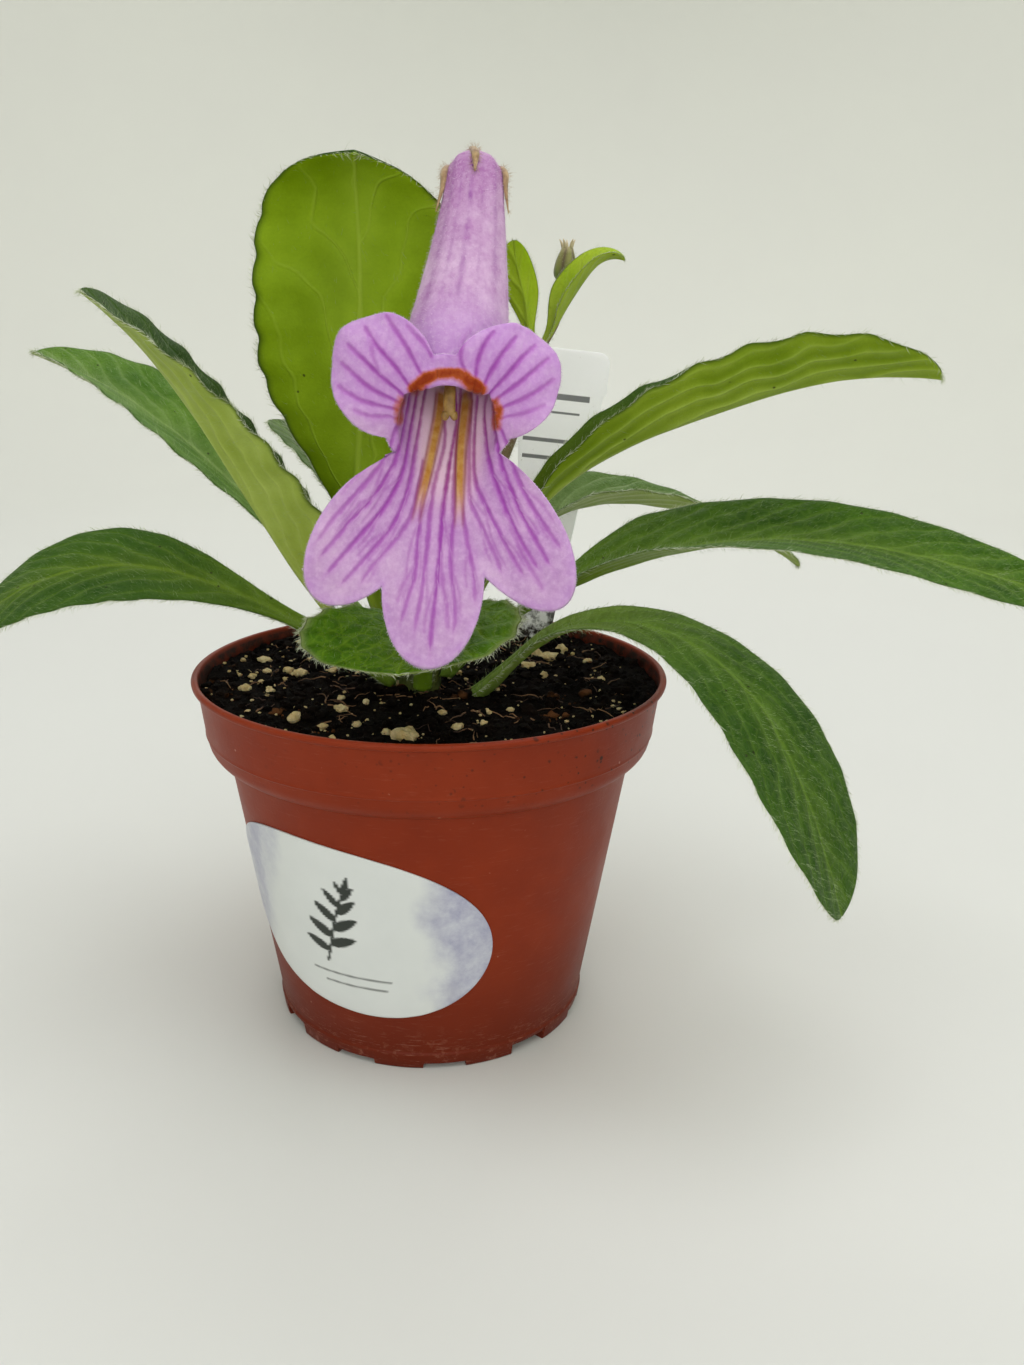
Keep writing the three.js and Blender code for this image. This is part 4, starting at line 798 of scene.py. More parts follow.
# Veins on the face: lines of places, each with its strength
VEINS = [
    ([(560, 800), (540, 765), (500, 720), (472, 690)], 0.7),
    ([(540, 880), (520, 862), (482, 790), (440, 722), (398, 660)], 0.9),
    ([(500, 925), (472, 900), (420, 832), (362, 766), (318, 698)], 1.0),
    ([(465, 950), (442, 930), (372, 872), (300, 803), (256, 760)], 1.0),
    ([(448, 975), (424, 962), (332, 918), (268, 862), (226, 824)], 0.9),
    ([(430, 992), (404, 990), (312, 968), (250, 936), (214, 908)], 0.8),
    ([(425, 1030), (400, 1022), (332, 1022), (280, 1002)], 0.6),
    ([(372, 872), (345, 800), (338, 740)], 0.5),
    ([(690, 872), (668, 802), (676, 742), (704, 706)], 0.8),
    ([(715, 915), (722, 890), (730, 822), (758, 752), (792, 712)], 1.0),
    ([(742, 935), (752, 910), (788, 842), (830, 780), (872, 732)], 1.0),
    ([(765, 955), (780, 932), (838, 872), (890, 812), (942, 762)], 1.0),
    ([(792, 975), (812, 950), (880, 902), (940, 852), (988, 812)], 0.9),
    ([(810, 1005), (832, 985), (900, 958), (960, 922), (1008, 888)], 0.8),
    ([(820, 1030), (850, 1022), (910, 1010), (972, 985)], 0.6),
    ([(452, 960), (440, 1020), (418, 1090), (384, 1180), (304, 1284), (204, 1392), (142, 1476)], 0.8),
    ([(480, 930), (460, 1040), (438, 1130), (412, 1214), (350, 1312), (252, 1420), (160, 1528)], 1.0),
    ([(508, 915), (488, 1040), (466, 1160), (440, 1262), (380, 1370), (288, 1472), (186, 1590)], 1.1),
    ([(540, 900), (516, 1050), (490, 1200), (470, 1312), (420, 1422), (330, 1532), (236, 1634)], 1.0),
    ([(530, 1180), (500, 1342), (470, 1422), (400, 1510), (330, 1592), (300, 1642)], 0.8),
    ([(384, 1180), (340, 1325), (290, 1350), (220, 1440)], 0.5),
    ([(626, 930), (610, 1040), (612, 1120), (582, 1232), (560, 1332), (545, 1500), (528, 1652), (508, 1764),
      (496, 1830)], 0.9),
    ([(648, 930), (655, 1046), (636, 1150), (616, 1282), (600, 1402), (590, 1560), (574, 1700), (560, 1822),
      (556, 1900)], 1.15),
    ([(672, 918), (664, 1000), (656, 1100), (646, 1250), (642, 1400), (632, 1520), (640, 1642), (650, 1760),
      (640, 1832)], 0.9),
    ([(560, 1240), (535, 1300), (520, 1380), (511, 1480), (500, 1600), (472, 1702), (448, 1780)], 0.9),
    ([(672, 1300), (680, 1400), (700, 1520), (720, 1620), (722, 1700)], 0.8),
    ([(600, 1500), (596, 1600), (614, 1700), (622, 1800)], 0.6),
    ([(508, 1560), (460, 1640), (436, 1700)], 0.5),
    ([(770, 950), (758, 990), (764, 1100), (780, 1202), (812, 1300), (852, 1402), (902, 1500), (952, 1580)], 1.1),
    ([(795, 985), (798, 1020), (806, 1120), (832, 1232), (880, 1350), (932, 1452), (992, 1560)], 1.1),
    ([(815, 1060), (832, 1100), (872, 1232), (930, 1350), (990, 1442), (1034, 1504)], 0.9),
    ([(735, 935), (722, 1080), (720, 1250), (760, 1350), (812, 1452), (860, 1540), (902, 1612)], 1.0),
    ([(712, 930), (704, 1100), (700, 1240), (704, 1330), (742, 1422), (790, 1522), (820, 1600)], 0.8),
    ([(830, 1380), (860, 1420), (890, 1520), (960, 1640)], 0.6),
]


def with_forks(veins):
    """The veins, drawn on towards the margin, and finer ones that leave them and then run beside them."""
    out = []
    for line, strength in veins:
        before, last = np.array(line[-2:], float)
        out.append(([*line, tuple(last + 0.3 * (last - before))], strength))
    for number, (line, strength) in enumerate(veins):
        line = np.array(line, float)
        span = np.linalg.norm(line[-1] - line[0])
        if span < 300:
            continue
        for share, turn in ((0.5, 17), (0.7, -15)):
            start = smooth_line(line, 50)[int(share * 49)]
            way = unit(line[-1] - start)
            bend = math.radians(turn * (1 if number % 2 else -1))
            ahead = way * math.cos(bend) + np.array([-way[1], way[0]]) * math.sin(bend)
            reach = span * (0.95 - share) * 0.8
            out.append(([tuple(start), tuple(start + ahead * reach * 0.55),
                         tuple(start + ahead * reach * 0.6 + way * reach * 0.45)], strength * 0.42))
    return out


# Orange-brown throat and ochre guides: lines with a half width, and how strong a stain is
THROAT_STAINS = [
    ([(496, 916), (540, 884), (604, 866), (668, 872), (712, 900), (740, 922)], 20, 1.0),
    ([(446, 960), (434, 1000), (436, 1040)], 16, 0.66),
    ([(800, 965), (812, 1010), (804, 1060)], 16, 0.72),
]
GUIDES = [
    ([(597, 948), (588, 1020), (566, 1130), (540, 1250), (514, 1360), (500, 1430)], 18),
    ([(694, 958), (684, 1040), (672, 1150), (668, 1260), (664, 1380), (660, 1450)], 18),
]


# The pale floor between and beside the guides: a line and a half width
PALE_FLOOR = ([(640, 930), (636, 1050), (624, 1180), (612, 1330), (600, 1440)], 225, 100)


def pattern(points):
    """For each point: how far it is from a vein in vein widths, that vein's strength, and how much it has of the
    orange round the mouth, of an ochre guide and of a guide's red edge."""
    flat = to_picture(points)
    gap = np.full(flat.shape[:-1], 4.0)
    power = np.full(flat.shape[:-1], 0.6)
    for number, (line, strength) in enumerate(with_forks(VEINS)):
        away, along = distance_to_line(flat, smooth_line(zoomed(line), 16))
        wide = 2.1 + 1.3 * smoothstep(along, 0.1, 0.45) - 0.8 * along if number < len(VEINS) else 2.4 - 0.6 * along
        here = away / wide + 1.5 * smoothstep(along, 0.93, 1)
        nearer = here < gap
        gap = np.where(nearer, here, gap)
        power = np.where(nearer, strength * (1 - 0.3 * smoothstep(along, 0.55, 1)), power)
    stain = np.zeros_like(gap)
    for line, width, strength in THROAT_STAINS:
        away, _ = distance_to_line(flat, smooth_line(zoomed(line)))
        stain = np.maximum(stain, strength * (1 - smoothstep(away, width / 3.7 * 0.3, width / 3.7 * 2.1)))
    guide, rim = np.zeros_like(gap), np.zeros_like(gap)
    for line, width in GUIDES:
        away, along = distance_to_line(flat, smooth_line(zoomed(line)))
        fade = 1 - smoothstep(along, 0.62, 1)
        wide = width / 3.7 * (1 - 0.3 * along)
        guide = np.maximum(guide, (1 - smoothstep(away, wide * 0.6, wide * 1.3)) * fade)
        rim = np.maximum(rim, np.exp(-((away - wide * 1.15) / 1.7) ** 2) * (1 - 0.5 * smoothstep(along, 0.5, 1)) *
                         (1 - smoothstep(along, 0.92, 1)))
    line, near, far = PALE_FLOOR
    away, along = distance_to_line(flat, smooth_line(zoomed(line)))
    wide = (near + (far - near) * along) / 3.7
    pale = (1 - smoothstep(away, wide * 0.5, wide)) * (1 - smoothstep(along, 0.6, 1.0))
    return dict(gap=gap, power=power, stain=stain, guide=guide, rim=rim, pale=pale)


def corolla_sheet(columns):
    """The corolla's middle surface from the tube's end to the margin, and where each row stands: 0 to 1 along
    the tube, 1 to 2 through the throat and 2 to 3 across the limb."""
    even = np.arange(columns) / columns * TAU
    angle = even - 0.3 * np.cos(even)
    tube_rows, throat_rows, limb_rows = 46, 26, 48
    rows = [tube_ring(np.full(columns, k), angle) for k in np.linspace(0, 5, tube_rows)]
    last = rows[-1]
    share = np.arange(1, throat_rows + 1) / throat_rows
    rows += [last * (1 - e) + limb(angle, 0.0) * e for e in share ** 2 * (3 - 2 * share) * 0.4 + share * 0.6]
    spread = np.linspace(0, 1, limb_rows + 1)[1:]
    rows += [limb(angle, w) for w in spread * 0.75 + 0.25 * np.sin(spread * math.pi / 2)]
    sheet = np.array(rows)
    stage = np.concatenate([np.linspace(0, 1, tube_rows), 1 + share, 2 + spread])
    for _ in range(6):
        turn = sheet[tube_rows - 4:tube_rows + throat_rows + 5]
        turn[1:-1] = 0.5 * turn[1:-1] + 0.25 * (turn[2:] + turn[:-2])
    # the floor of the throat swells up, and the top of the mouth hangs a little lower
    floor = smoothstep(-np.sin(angle), 0.1, 0.9) * np.exp(-((stage[:, None] - 1.35) / 0.55) ** 2)
    brow = smoothstep(np.sin(angle), 0.5, 1.0) * np.exp(-((stage[:, None] - 2.0) / 0.16) ** 2)
    sheet = sheet + (FLOOR_SWELL * floor - BROW_DROP * brow)[..., None] * FACE_UP + (
        0.5 * brow)[..., None] * FACE_OUT
    return sheet, stage, angle


FLOOR_SWELL = 3.9
BROW_DROP = 1.5
# Darker lines along the tube: where each is round it in degrees, its width in radians and its strength
TUBE_LINES = [(95, 0.07, 1.0), (74, 0.04, 0.35), (115, 0.05, 0.45), (48, 0.09, 0.6), (136, 0.09, 0.7), (20, 0.07, 0.7),
              (162, 0.07, 0.7), (200, 0.07, 0.5), (-20, 0.07, 0.5), (-60, 0.07, 0.4), (-90, 0.07, 0.4), (240, 0.07, 0.4)]


def pick_rows(grid, places):
    i = np.minimum(places.astype(int), len(grid) - 2)
    f = (places - i).reshape(-1, *[1] * (grid.ndim - 1))
    return grid[i] * (1 - f) + grid[i + 1] * f


def build_corolla():
    columns = 620
    sheet, stage, angle = corolla_sheet(columns)
    normals = surface_normals(sheet, wrap=True)
    stage = stage[:, None] + 0 * angle
    marks = pattern(sheet)
    on_face_side = smoothstep(stage, 0.72, 1.05)
    on_limb, reach = smoothstep(stage, 1.7, 2.1), np.clip(stage - 2, 0, 1)
    on_tube = 1 - smoothstep(stage, 0.85, 1.05)
    vein = on_face_side * marks["power"] * (1 - smoothstep(marks["gap"], 0.2, 1.1))
    ruffle = 0.34 * np.sin(angle * 13 + 1.3) * reach ** 3 + 0.28 * layered_noise(sheet * 0.22, 3, 5) * on_limb
    ridges = (0.45 * marks["guide"] + 0.25 * marks["stain"]) * on_face_side
    ribs = 0.05 * np.cos(angle * 10) * on_tube * smoothstep(stage, 0.08, 0.25)
    shift = ruffle - 0.15 * vein + ridges + ribs + 0.05 * layered_noise(sheet * 0.9, 2, 8)
    half = np.where(stage < 3, 0.2 + 0.06 * on_tube, 0) * np.sqrt(np.clip((3 - stage) * 24, 0, 1))
    front = sheet + normals * (shift + half)[..., None]
    back = sheet + normals * (shift - half)[..., None]
    front_rows = np.concatenate([np.linspace(0, 40, 14), np.linspace(42, 71, 24), np.linspace(71.8, 119, 62)])
    back_rows = np.concatenate([np.linspace(0, 44, 18), np.linspace(47, 71, 8), np.linspace(73.5, 119, 17)])
    n, m = len(front_rows), len(back_rows)
    inner, outer = pick_rows(front, front_rows), pick_rows(back, back_rows)
    index = np.arange(n * columns).reshape(n, columns)
    under = n * columns + np.arange(m * columns).reshape(m, columns)
    under[-1] = index[-1]
    faces_in = grid_faces(n, columns, wrap=True)
    faces_out = under.ravel()[grid_faces(m, columns, wrap=True)][:, ::-1]
    seam = np.stack([index[0], np.roll(index[0], -1), np.roll(under[0], -1), under[0]], -1)
    points = np.concatenate([inner.reshape(-1, 3), outer[:-1].reshape(-1, 3)])

    def both(grid, other=None):
        grid = np.broadcast_to(grid, stage.shape)
        other = grid if other is None else np.broadcast_to(other, stage.shape)
        return np.concatenate([pick_rows(grid, front_rows).ravel(), pick_rows(other, back_rows)[:-1].ravel()])

    far = 4 - (4 - marks["gap"]) * on_face_side
    lines = sum(strong * np.exp(-((angle - math.radians(degrees)) / wide) ** 2) for degrees, wide, strong in TUBE_LINES)
    lines = np.clip(lines, 0, 1) * on_tube * (1 - 0.35 * stage)
    heart = np.clip(1 - reach * 1.3, 0, 1) * on_face_side
    values = {
        "gap": both(far), "power": both(marks["power"] * on_face_side, 0.4 * marks["power"] * (1 - on_tube)),
        "lines": both(0.0, lines), "stain": both(marks["stain"] * on_face_side, 0.0),
        "pale": both(marks["pale"] * on_face_side * smoothstep(-np.sin(angle), -0.1, 0.3), 0.0), "guide": both(marks["guide"] * on_face_side, 0.0), "rim": both(marks["rim"] * on_face_side, 0.0),
        "heart": both(heart, heart * 0.4), "tube": both(on_tube), "top": both(1 - smoothstep(stage, 0.3, 0.9)),
        "reach": both(reach), "high": both(smoothstep(np.sin(angle), -0.2, 0.3) + 0 * stage),
    }
    make("corolla_petals", points, [faces_in, faces_out, seam], [petal_look()],
         values=values, replaces=["corolla"])
    draw = np.random.default_rng(77)
    cover = pick_rows(back, np.linspace(0, 76, 40))
    cover = np.concatenate([cover, cover[:, :1]], 1)
    place, normal, along, _ = scatter(cover, 6500, 71)
    parts = [hairs(place, 0.4 * along - normal + 0.35 * draw.normal(size=normal.shape),
                   draw.uniform(0.25, 0.6, len(place)), 0.034, 72)]
    k = draw.integers(0, columns, 3200)
    root = front[-1][k]
    away = unit(root - front[-4][k])
    parts.append(hairs(root, away + 0.5 * draw.normal(size=away.shape), draw.uniform(0.15, 0.4, len(k)), 0.026, 73))
    hair_points, hair_faces = join(parts)
    make("corolla_down", hair_points, hair_faces, [HAIR_PINK])


def petal_look():
    look = Look("petal", 0.5, Sheen_Weight=0.12, Sheen_Roughness=0.4, Subsurface_Weight=0.35,
                Subsurface_Radius=(1.0, 0.7, 1.0), Subsurface_Scale=0.0012, Specular_IOR_Level=0.1)
    fine = look.noise(1500, 3, 0.6)
    clouds = look.span(look.noise(190, 5, 0.65), 0.3, 0.7)
    petal = look.mix(clouds, srgb(180, 134, 190), srgb(210, 176, 212))
    petal = look.mix(look.maths("MULTIPLY", look.value("high"), 0.55), petal, srgb(200, 148, 218))
    mottle = look.span(look.noise(520, 4, 0.7), 0.34, 0.68)
    petal = look.mix(look.maths("MULTIPLY", look.value("tube"), 0.85), petal,
                     look.mix(look.maths("MULTIPLY", look.maths("ADD", clouds, mottle), 0.5), srgb(178, 124, 180),
                              srgb(232, 204, 230)))
    petal = look.mix(look.maths("MULTIPLY", look.value("top"), look.span(clouds, 0.0, 1.0, 0.95, 0.6)), petal,
                     srgb(150, 76, 150))
    petal = look.mix(look.maths("MULTIPLY", look.value("heart"), 0.16), petal, srgb(176, 98, 190))
    petal = look.mix(look.span(look.value("reach"), 0.84, 1.0, 0.0, 0.35), petal, srgb(182, 128, 206))
    petal = look.mix(look.maths("MULTIPLY", look.value("pale"), 0.85), petal, srgb(238, 204, 220))
    petal = look.mix(look.span(fine, 0.42, 0.8, 0.0, 0.3), petal, srgb(238, 212, 238))
    ragged = look.maths("ADD", look.value("gap"), look.span(look.noise(800, 3, 0.6), 0.3, 0.7, -0.25, 0.25))
    veins = look.maths("MULTIPLY", look.soft(ragged, 1.5, 0.05), look.value("power"))
    halo = look.maths("MULTIPLY", look.soft(look.value("gap"), 3.2, 0.4), look.value("power"))
    halo = look.maths("MULTIPLY", halo, look.span(look.value("pale"), 0.0, 1.0, 0.3, 0.08))
    petal = look.mix(halo, petal, srgb(182, 104, 194))
    ink = look.mix(look.value("pale"), srgb(156, 62, 168), srgb(156, 54, 136))
    petal = look.mix(look.maths("MULTIPLY", veins, 0.8, clamp=True), petal, ink)
    streaks = look.maths("MULTIPLY", look.value("lines"), look.span(look.noise(330, 4, 0.65), 0.38, 0.62, 0.15, 1.0))
    petal = look.mix(look.maths("MULTIPLY", streaks, 0.85), petal, srgb(146, 72, 158))
    rust = look.span(look.noise(650, 3, 0.6), 0.3, 0.7)
    petal = look.mix(look.maths("MULTIPLY", look.value("rim"), 0.75), petal, srgb(142, 56, 34))
    petal = look.mix(look.value("guide"), petal, look.mix(rust, srgb(180, 122, 48), srgb(208, 164, 92)))
    patchy = look.maths("ADD", look.value("stain"), look.span(rust, 0.0, 1.0, -0.26, 0.1))
    stained = look.span(patchy, 0.15, 0.7)
    petal = look.mix(stained, petal, look.mix(look.span(patchy, 0.55, 0.95), srgb(188, 96, 44), srgb(142, 50, 10)))
    look.set("Base Color", petal)
    look.bump(look.maths("ADD", look.maths("MULTIPLY", fine, 0.6), look.noise(4200, 2)), depth=0.00006)
    return look.material


build_corolla()


# ---------------------------------------------------------------- calyx, pistil, stamens, stalk and bud
def fuzz(path, radii, count, seed, length=(0.4, 1.0), width=0.03, lean_to=None):
    """Hairs that stand on a round stem."""
    draw = np.random.default_rng(seed)
    path, radii = np.asarray(path, float), np.broadcast_to(radii, len(path))
    spot = draw.uniform(0, len(path) - 1.001, count)
    i = spot.astype(int)
    f = (spot - i)[:, None]
    along = unit(path[i + 1] - path[i])
    centre = path[i] * (1 - f) + path[i + 1] * f
    away = unit(np.cross(along, draw.normal(size=(count, 3))))
    root = centre + away * (radii[i] * 0.95)[:, None]
    return hairs(root, away + 0.2 * along + 0.25 * draw.normal(size=away.shape), draw.uniform(*length, count),
                 width, seed + 1, lean=0.3 * draw.normal(size=away.shape))


def beside_tube(k, angle, extra):
    k, angle = np.atleast_1d(float(k)), np.atleast_1d(angle)
    wall, other = tube_ring(k, angle)[0], tube_ring(k, angle + math.pi)[0]
    centre = (wall + other) / 2
    radius = np.linalg.norm(wall - centre)
    return centre + (wall - centre) * (1 + extra / radius)


def build_calyx():
    look = Look("sepal", 0.8, Sheen_Weight=0.3)
    look.set("Base Color", look.mix(look.span(look.noise(900, 4, 0.65), 0.3, 0.7), srgb(128, 96, 66),
                                    srgb(192, 162, 118)))
    look.bump(look.noise(2500, 3), depth=0.00015)
    a, b, out, _ = TUBE_RINGS[0]
    cup_path = smooth_line([on_face(a, b - 0.6, out - 2.7), on_face(a, b - 0.3, out - 2.1),
                            on_face(a, b, out - 1.1), on_face(a, b + 0.1, out - 0.2)], 14)
    cup_radii = track([1.1, 1.7, 2.2, 2.1], np.linspace(0, 1, 14))
    parts = [tube(cup_path, cup_radii, 20)]
    down = []
    for number, degrees in enumerate([90, 18, 162, 234, 306]):
        angle = math.radians(degrees)
        path = smooth_line([on_face(a, b, out - 1.5), beside_tube(0.1, angle, 0.75), beside_tube(1, angle, 0.75),
                            beside_tube(2, angle, 0.7), beside_tube(2.5 if number else 2.2, angle, 0.6),
                            beside_tube(3.05 if number else 2.5, angle, 0.9)], 26)
        radii = track([0.6, 0.75, 0.7, 0.6, 0.4, 0.08], np.linspace(0, 1, 26))
        parts.append(tube(path, radii, 10, flatten=(1, 0.75)))
        down.append(fuzz(path, radii, 420, 300 + number, length=(0.3, 0.95), width=0.03))
    down.append(fuzz(cup_path, cup_radii, 500, 320, length=(0.3, 0.9), width=0.03))
    points, faces = join(parts)
    make("calyx_sepals", points, faces, [look.material], replaces=["calyx"])
    points, faces = join(down)
    make("calyx_hairs", points, faces, [HAIR_TAN])


def build_pistil():
    look = Look("stigma", 0.45, Subsurface_Weight=0.1, Subsurface_Scale=0.001)
    look.set("Base Color", look.mix(look.span(look.noise(700, 3), 0.35, 0.65), srgb(124, 92, 40),
                                    srgb(172, 134, 68)))
    look.bump(look.noise(3000, 2), depth=0.0001)
    path = smooth_line([on_face(*p) for p in ((3.9, 33.9, -20.4), (3.9, 33.2, -17), (3.6, 28.5, -12.6),
                                              (2.2, 16, -8.2), (1, 9, -4.6), (0.5, 5.6, -2.2), (0.3, 3.2, -1.3),
                                              (0.35, 1.2, -1.1))], 60)
    radii = track([0.4, 0.4, 0.42, 0.5, 0.6, 0.75, 0.85, 0.8], np.linspace(0, 1, 60))
    tongue = tube(path, radii, 14, flatten=(0.55, 1.0))
    tips = []
    for side in (-1, 1):
        end = path[-1] + np.array([side * 0.5, 0, 0])
        tips.append(tube(smooth_line([end + [0, 0, 0.5], end + [side * 0.1, 0, -0.1],
                                      end + [side * 0.28, -0.1, -0.55]], 9),
                         track([0.5, 0.55, 0.28], np.linspace(0, 1, 9)), 10))
    points, faces = join([tongue, *tips])
    make("pistil_style", points, faces, [look.material], replaces=["pistil"])


def build_stamens():
    look = Look("anther", 0.6)
    look.set("Base Color", look.mix(look.noise(600, 3), srgb(214, 198, 160), srgb(244, 236, 212)))
    parts = []
    path = smooth_line([on_face(-1.6, 9.2, -7.6), on_face(0, 9.4, -7.2), on_face(1, 9.5, -7.1),
                        on_face(2, 9.6, -7.2), on_face(3.6, 9.8, -7.6)], 24)
    parts.append(tube(path, track([0.5, 0.95, 0.7, 0.95, 0.5], np.linspace(0, 1, 24)), 12))
    for side in (-1, 1):
        foot = math.radians(-90 + side * 42)
        path = smooth_line([beside_tube(4, foot, -0.5), on_face(1.6 + side * 2.6, 15.5, -12),
                            on_face(1 + side * 2.2, 9, -8)], 20)
        parts.append(tube(path, track([0.32, 0.36, 0.42], np.linspace(0, 1, 20)), 10))
    points, faces = join(parts)
    make("stamens_pair", points, faces, [look.material], replaces=["stamens"])


STALK_PATH = [[-2, -1, 63], [-1, -3.4, 69], [3.4, -4, 80], [12.2, -3, 99.6], [16.2, -3, 114.5]]
PEDICEL_PATH = [[15.6, -2.8, 111], [15, -2.2, 117.5], [13.4, -1.2, 122], [11.3, -0.6, 128], [8.6, -2, 133.5],
                [6.8, -6, 136], [6.1, -9.9, 136.3]]
BUD_STALK_PATH = [[15.8, -2.8, 111.5], [18.2, -1, 115], [20, -0.4, 118.6], [20.6, -0.2, 123.7]]
BUD_BASE = np.array([20.6, -0.2, 124])
BUD_LENGTH = 6.2
BUD_RADIUS = 1.75


def even_path(points, count):
    """Even steps along a smooth curve through the points, with more care at uneven spacing."""
    points = np.asarray(points, float)
    dense = track(points, np.linspace(0, 1, 400))
    gone = np.concatenate([[0], np.cumsum(np.linalg.norm(np.diff(dense, axis=0), axis=1))])
    return np.stack([np.interp(np.linspace(0, gone[-1], count), gone, dense[:, k]) for k in range(3)], -1)


def build_stalk():
    look = Look("stalk", 0.6, Sheen_Weight=0.3)
    place = look.place()
    height = look.node("ShaderNodeSeparateXYZ", {0: place}).outputs["Z"]
    tone = look.mix(look.span(look.noise(500, 4, 0.6), 0.3, 0.7), srgb(104, 82, 52), srgb(140, 122, 78))
    tone = look.mix(look.span(height, 0.075, 0.105, 0.8, 0.0), tone, srgb(104, 110, 52))
    tone = look.mix(look.span(look.noise(260, 3, 0.6), 0.45, 0.7, 0.0, 0.7), tone, srgb(110, 70, 62))
    look.set("Base Color", tone)
    look.bump(look.noise(2200, 3), depth=0.00012)
    parts, down = [], []
    for path, radii, count, hair in (
            (even_path(STALK_PATH, 70), np.linspace(1.25 * 1.25, 1.25 * 0.95, 70), 70, 2600),
            (even_path(PEDICEL_PATH, 70), 0.95 * (1 + 0.25 * np.linspace(0, 1, 70) ** 4), 70, 1700),
            (even_path(BUD_STALK_PATH, 30), np.full(30, 0.5), 30, 420)):
        parts.append(tube(path, radii, 14))
        down.append(fuzz(path[2:-2], radii[2:-2], hair, 400 + count + hair, length=(0.35, 0.95), width=0.03))
    points, faces = join(parts)
    make("flower_stalk_stems", points, faces, [look.material],
         replaces=["flower_stalk"])
    points, faces = join(down)
    make("flower_stalk_hairs", points, faces, [HAIR_WHITE])


def build_bud():
    look = Look("bud", 0.75, Sheen_Weight=0.3)
    height = look.node("ShaderNodeSeparateXYZ", {0: look.place()}).outputs["Z"]
    tone = look.mix(look.span(height, 0.1245, 0.1275), srgb(112, 136, 50), srgb(140, 140, 76))
    tone = look.mix(look.maths("MULTIPLY", look.value("ridge"), 0.8), tone, srgb(78, 50, 46))
    tone = look.mix(look.span(height, 0.1282, 0.1300), tone, srgb(206, 190, 156))
    look.set("Base Color", tone)
    look.bump(look.noise(2500, 3), depth=0.0001)
    rows, columns = 40, 60
    t = np.linspace(0, 1, rows)[:, None]
    angle = np.arange(columns)[None] / columns * TAU
    share = track([0.4, 0.85, 1.0, 1.0, 0.94, 0.82, 0.66, 0.5], t)
    groove = np.abs(np.cos(angle * 2.5))
    radius = BUD_RADIUS * share * (0.82 + 0.18 * groove ** 0.7)
    points = np.stack([BUD_BASE[0] + 0.6 * t + radius * np.cos(angle), BUD_BASE[1] + radius * np.sin(angle),
                       BUD_BASE[2] + BUD_LENGTH * 0.84 * t + 0 * angle], -1)
    body = (np.concatenate([points.reshape(-1, 3), points[0].mean(0)[None], points[-1].mean(0)[None]]),
            [grid_faces(rows, columns, wrap=True)[:, ::-1],
             np.stack([np.full(columns, rows * columns), (np.arange(columns) + 1) % columns, np.arange(columns)], -1),
             np.stack([np.full(columns, rows * columns + 1), (rows - 1) * columns + np.arange(columns),
                       (rows - 1) * columns + (np.arange(columns) + 1) % columns], -1)])
    parts = [body]
    ridge = [np.broadcast_to(1 - groove, points.shape[:2]).ravel(), np.zeros(2)]
    top = BUD_BASE + [0.6, 0, BUD_LENGTH * 0.8]
    for k in range(5):
        a = k / 5 * TAU + 0.3
        out = np.array([math.cos(a), math.sin(a), 0])
        path = smooth_line([top + out * 0.7, top + out * 0.95 + [0, 0, 0.8], top + out * 1.3 + [0, 0, 1.35]], 8)
        part = tube(path, track([0.25, 0.2, 0.06], np.linspace(0, 1, 8)), 7)
        parts.append(part)
        ridge.append(np.zeros(len(part[0])))
    points, faces = join(parts)
    make("bud_closed", points, faces, [look.material], values={"ridge": np.concatenate(ridge)},
         replaces=["bud"])
    down_points, down_faces = fuzz([BUD_BASE + [0.1, 0, 0.5], BUD_BASE + [0.3, 0, 2.5], BUD_BASE + [0.5, 0, 4.6]],
                                   [1.3, 1.4, 0.8], 420, 510, length=(0.2, 0.6), width=0.022)
    make("bud_hairs", down_points, down_faces, [HAIR_WHITE])


build_calyx()
build_pistil()
build_stamens()
build_stalk()
build_bud()

# ---------------------------------------------------------------- pot
POT_HEIGHT, LIP_RADIUS = 61.2, 40
BAND_TOP_RADIUS, BAND_BOTTOM_RADIUS, BAND_BOTTOM_HEIGHT = 39, 38, 52
BODY_TOP_RADIUS, BODY_TOP_HEIGHT, BASE_RADIUS = 34.4, 47.7, 26.6
POT_WALL, POT_FLOOR = 1.2, 3.2
FOOT_WIDTH, FOOT_STEP_HEIGHT, FOOT_RECESS, FLOOR_PAD_RADIUS = 3.2, 2.8, 1.8, 9
FOOT_NOTCHES, NOTCH_ANGLE, FIRST_NOTCH = 11, 15, -85.6
DRAIN_HOLES, DRAIN_HOLE_RADIUS, DRAIN_HOLE_RING = 5, 2.6, 16
BED_HEIGHT = 59.1


def body_radius(z):
    return BASE_RADIUS + (BODY_TOP_RADIUS - BASE_RADIUS) * z / BODY_TOP_HEIGHT


def rounded_profile(corners, steps=4):
    """A profile of [radius, height, rounding] corners, with its corners rounded."""
    points = []
    for i, (x, z, rounding) in enumerate(corners):
        here = np.array([x, z], float)
        if rounding <= 0 or i in (0, len(corners) - 1):
            points.append(here)
            continue
        back = np.array(corners[i - 1][:2], float) - here
        on = np.array(corners[i + 1][:2], float) - here
        reach = min(rounding, 0.45 * np.linalg.norm(back), 0.45 * np.linalg.norm(on))
        a, b = here + unit(back) * reach, here + unit(on) * reach
        for f in np.linspace(0, 1, steps + 1):
            points.append(a * (1 - f) ** 2 + here * 2 * f * (1 - f) + b * f ** 2)
    return np.array(points)


def subdivide(profile, step):
    points = [profile[0]]
    for a, b in zip(profile[:-1], profile[1:]):
        n = max(1, int(np.ceil(np.linalg.norm(b - a) / step)))
        points += [a + (b - a) * k / n for k in range(1, n + 1)]
    return np.array(points)


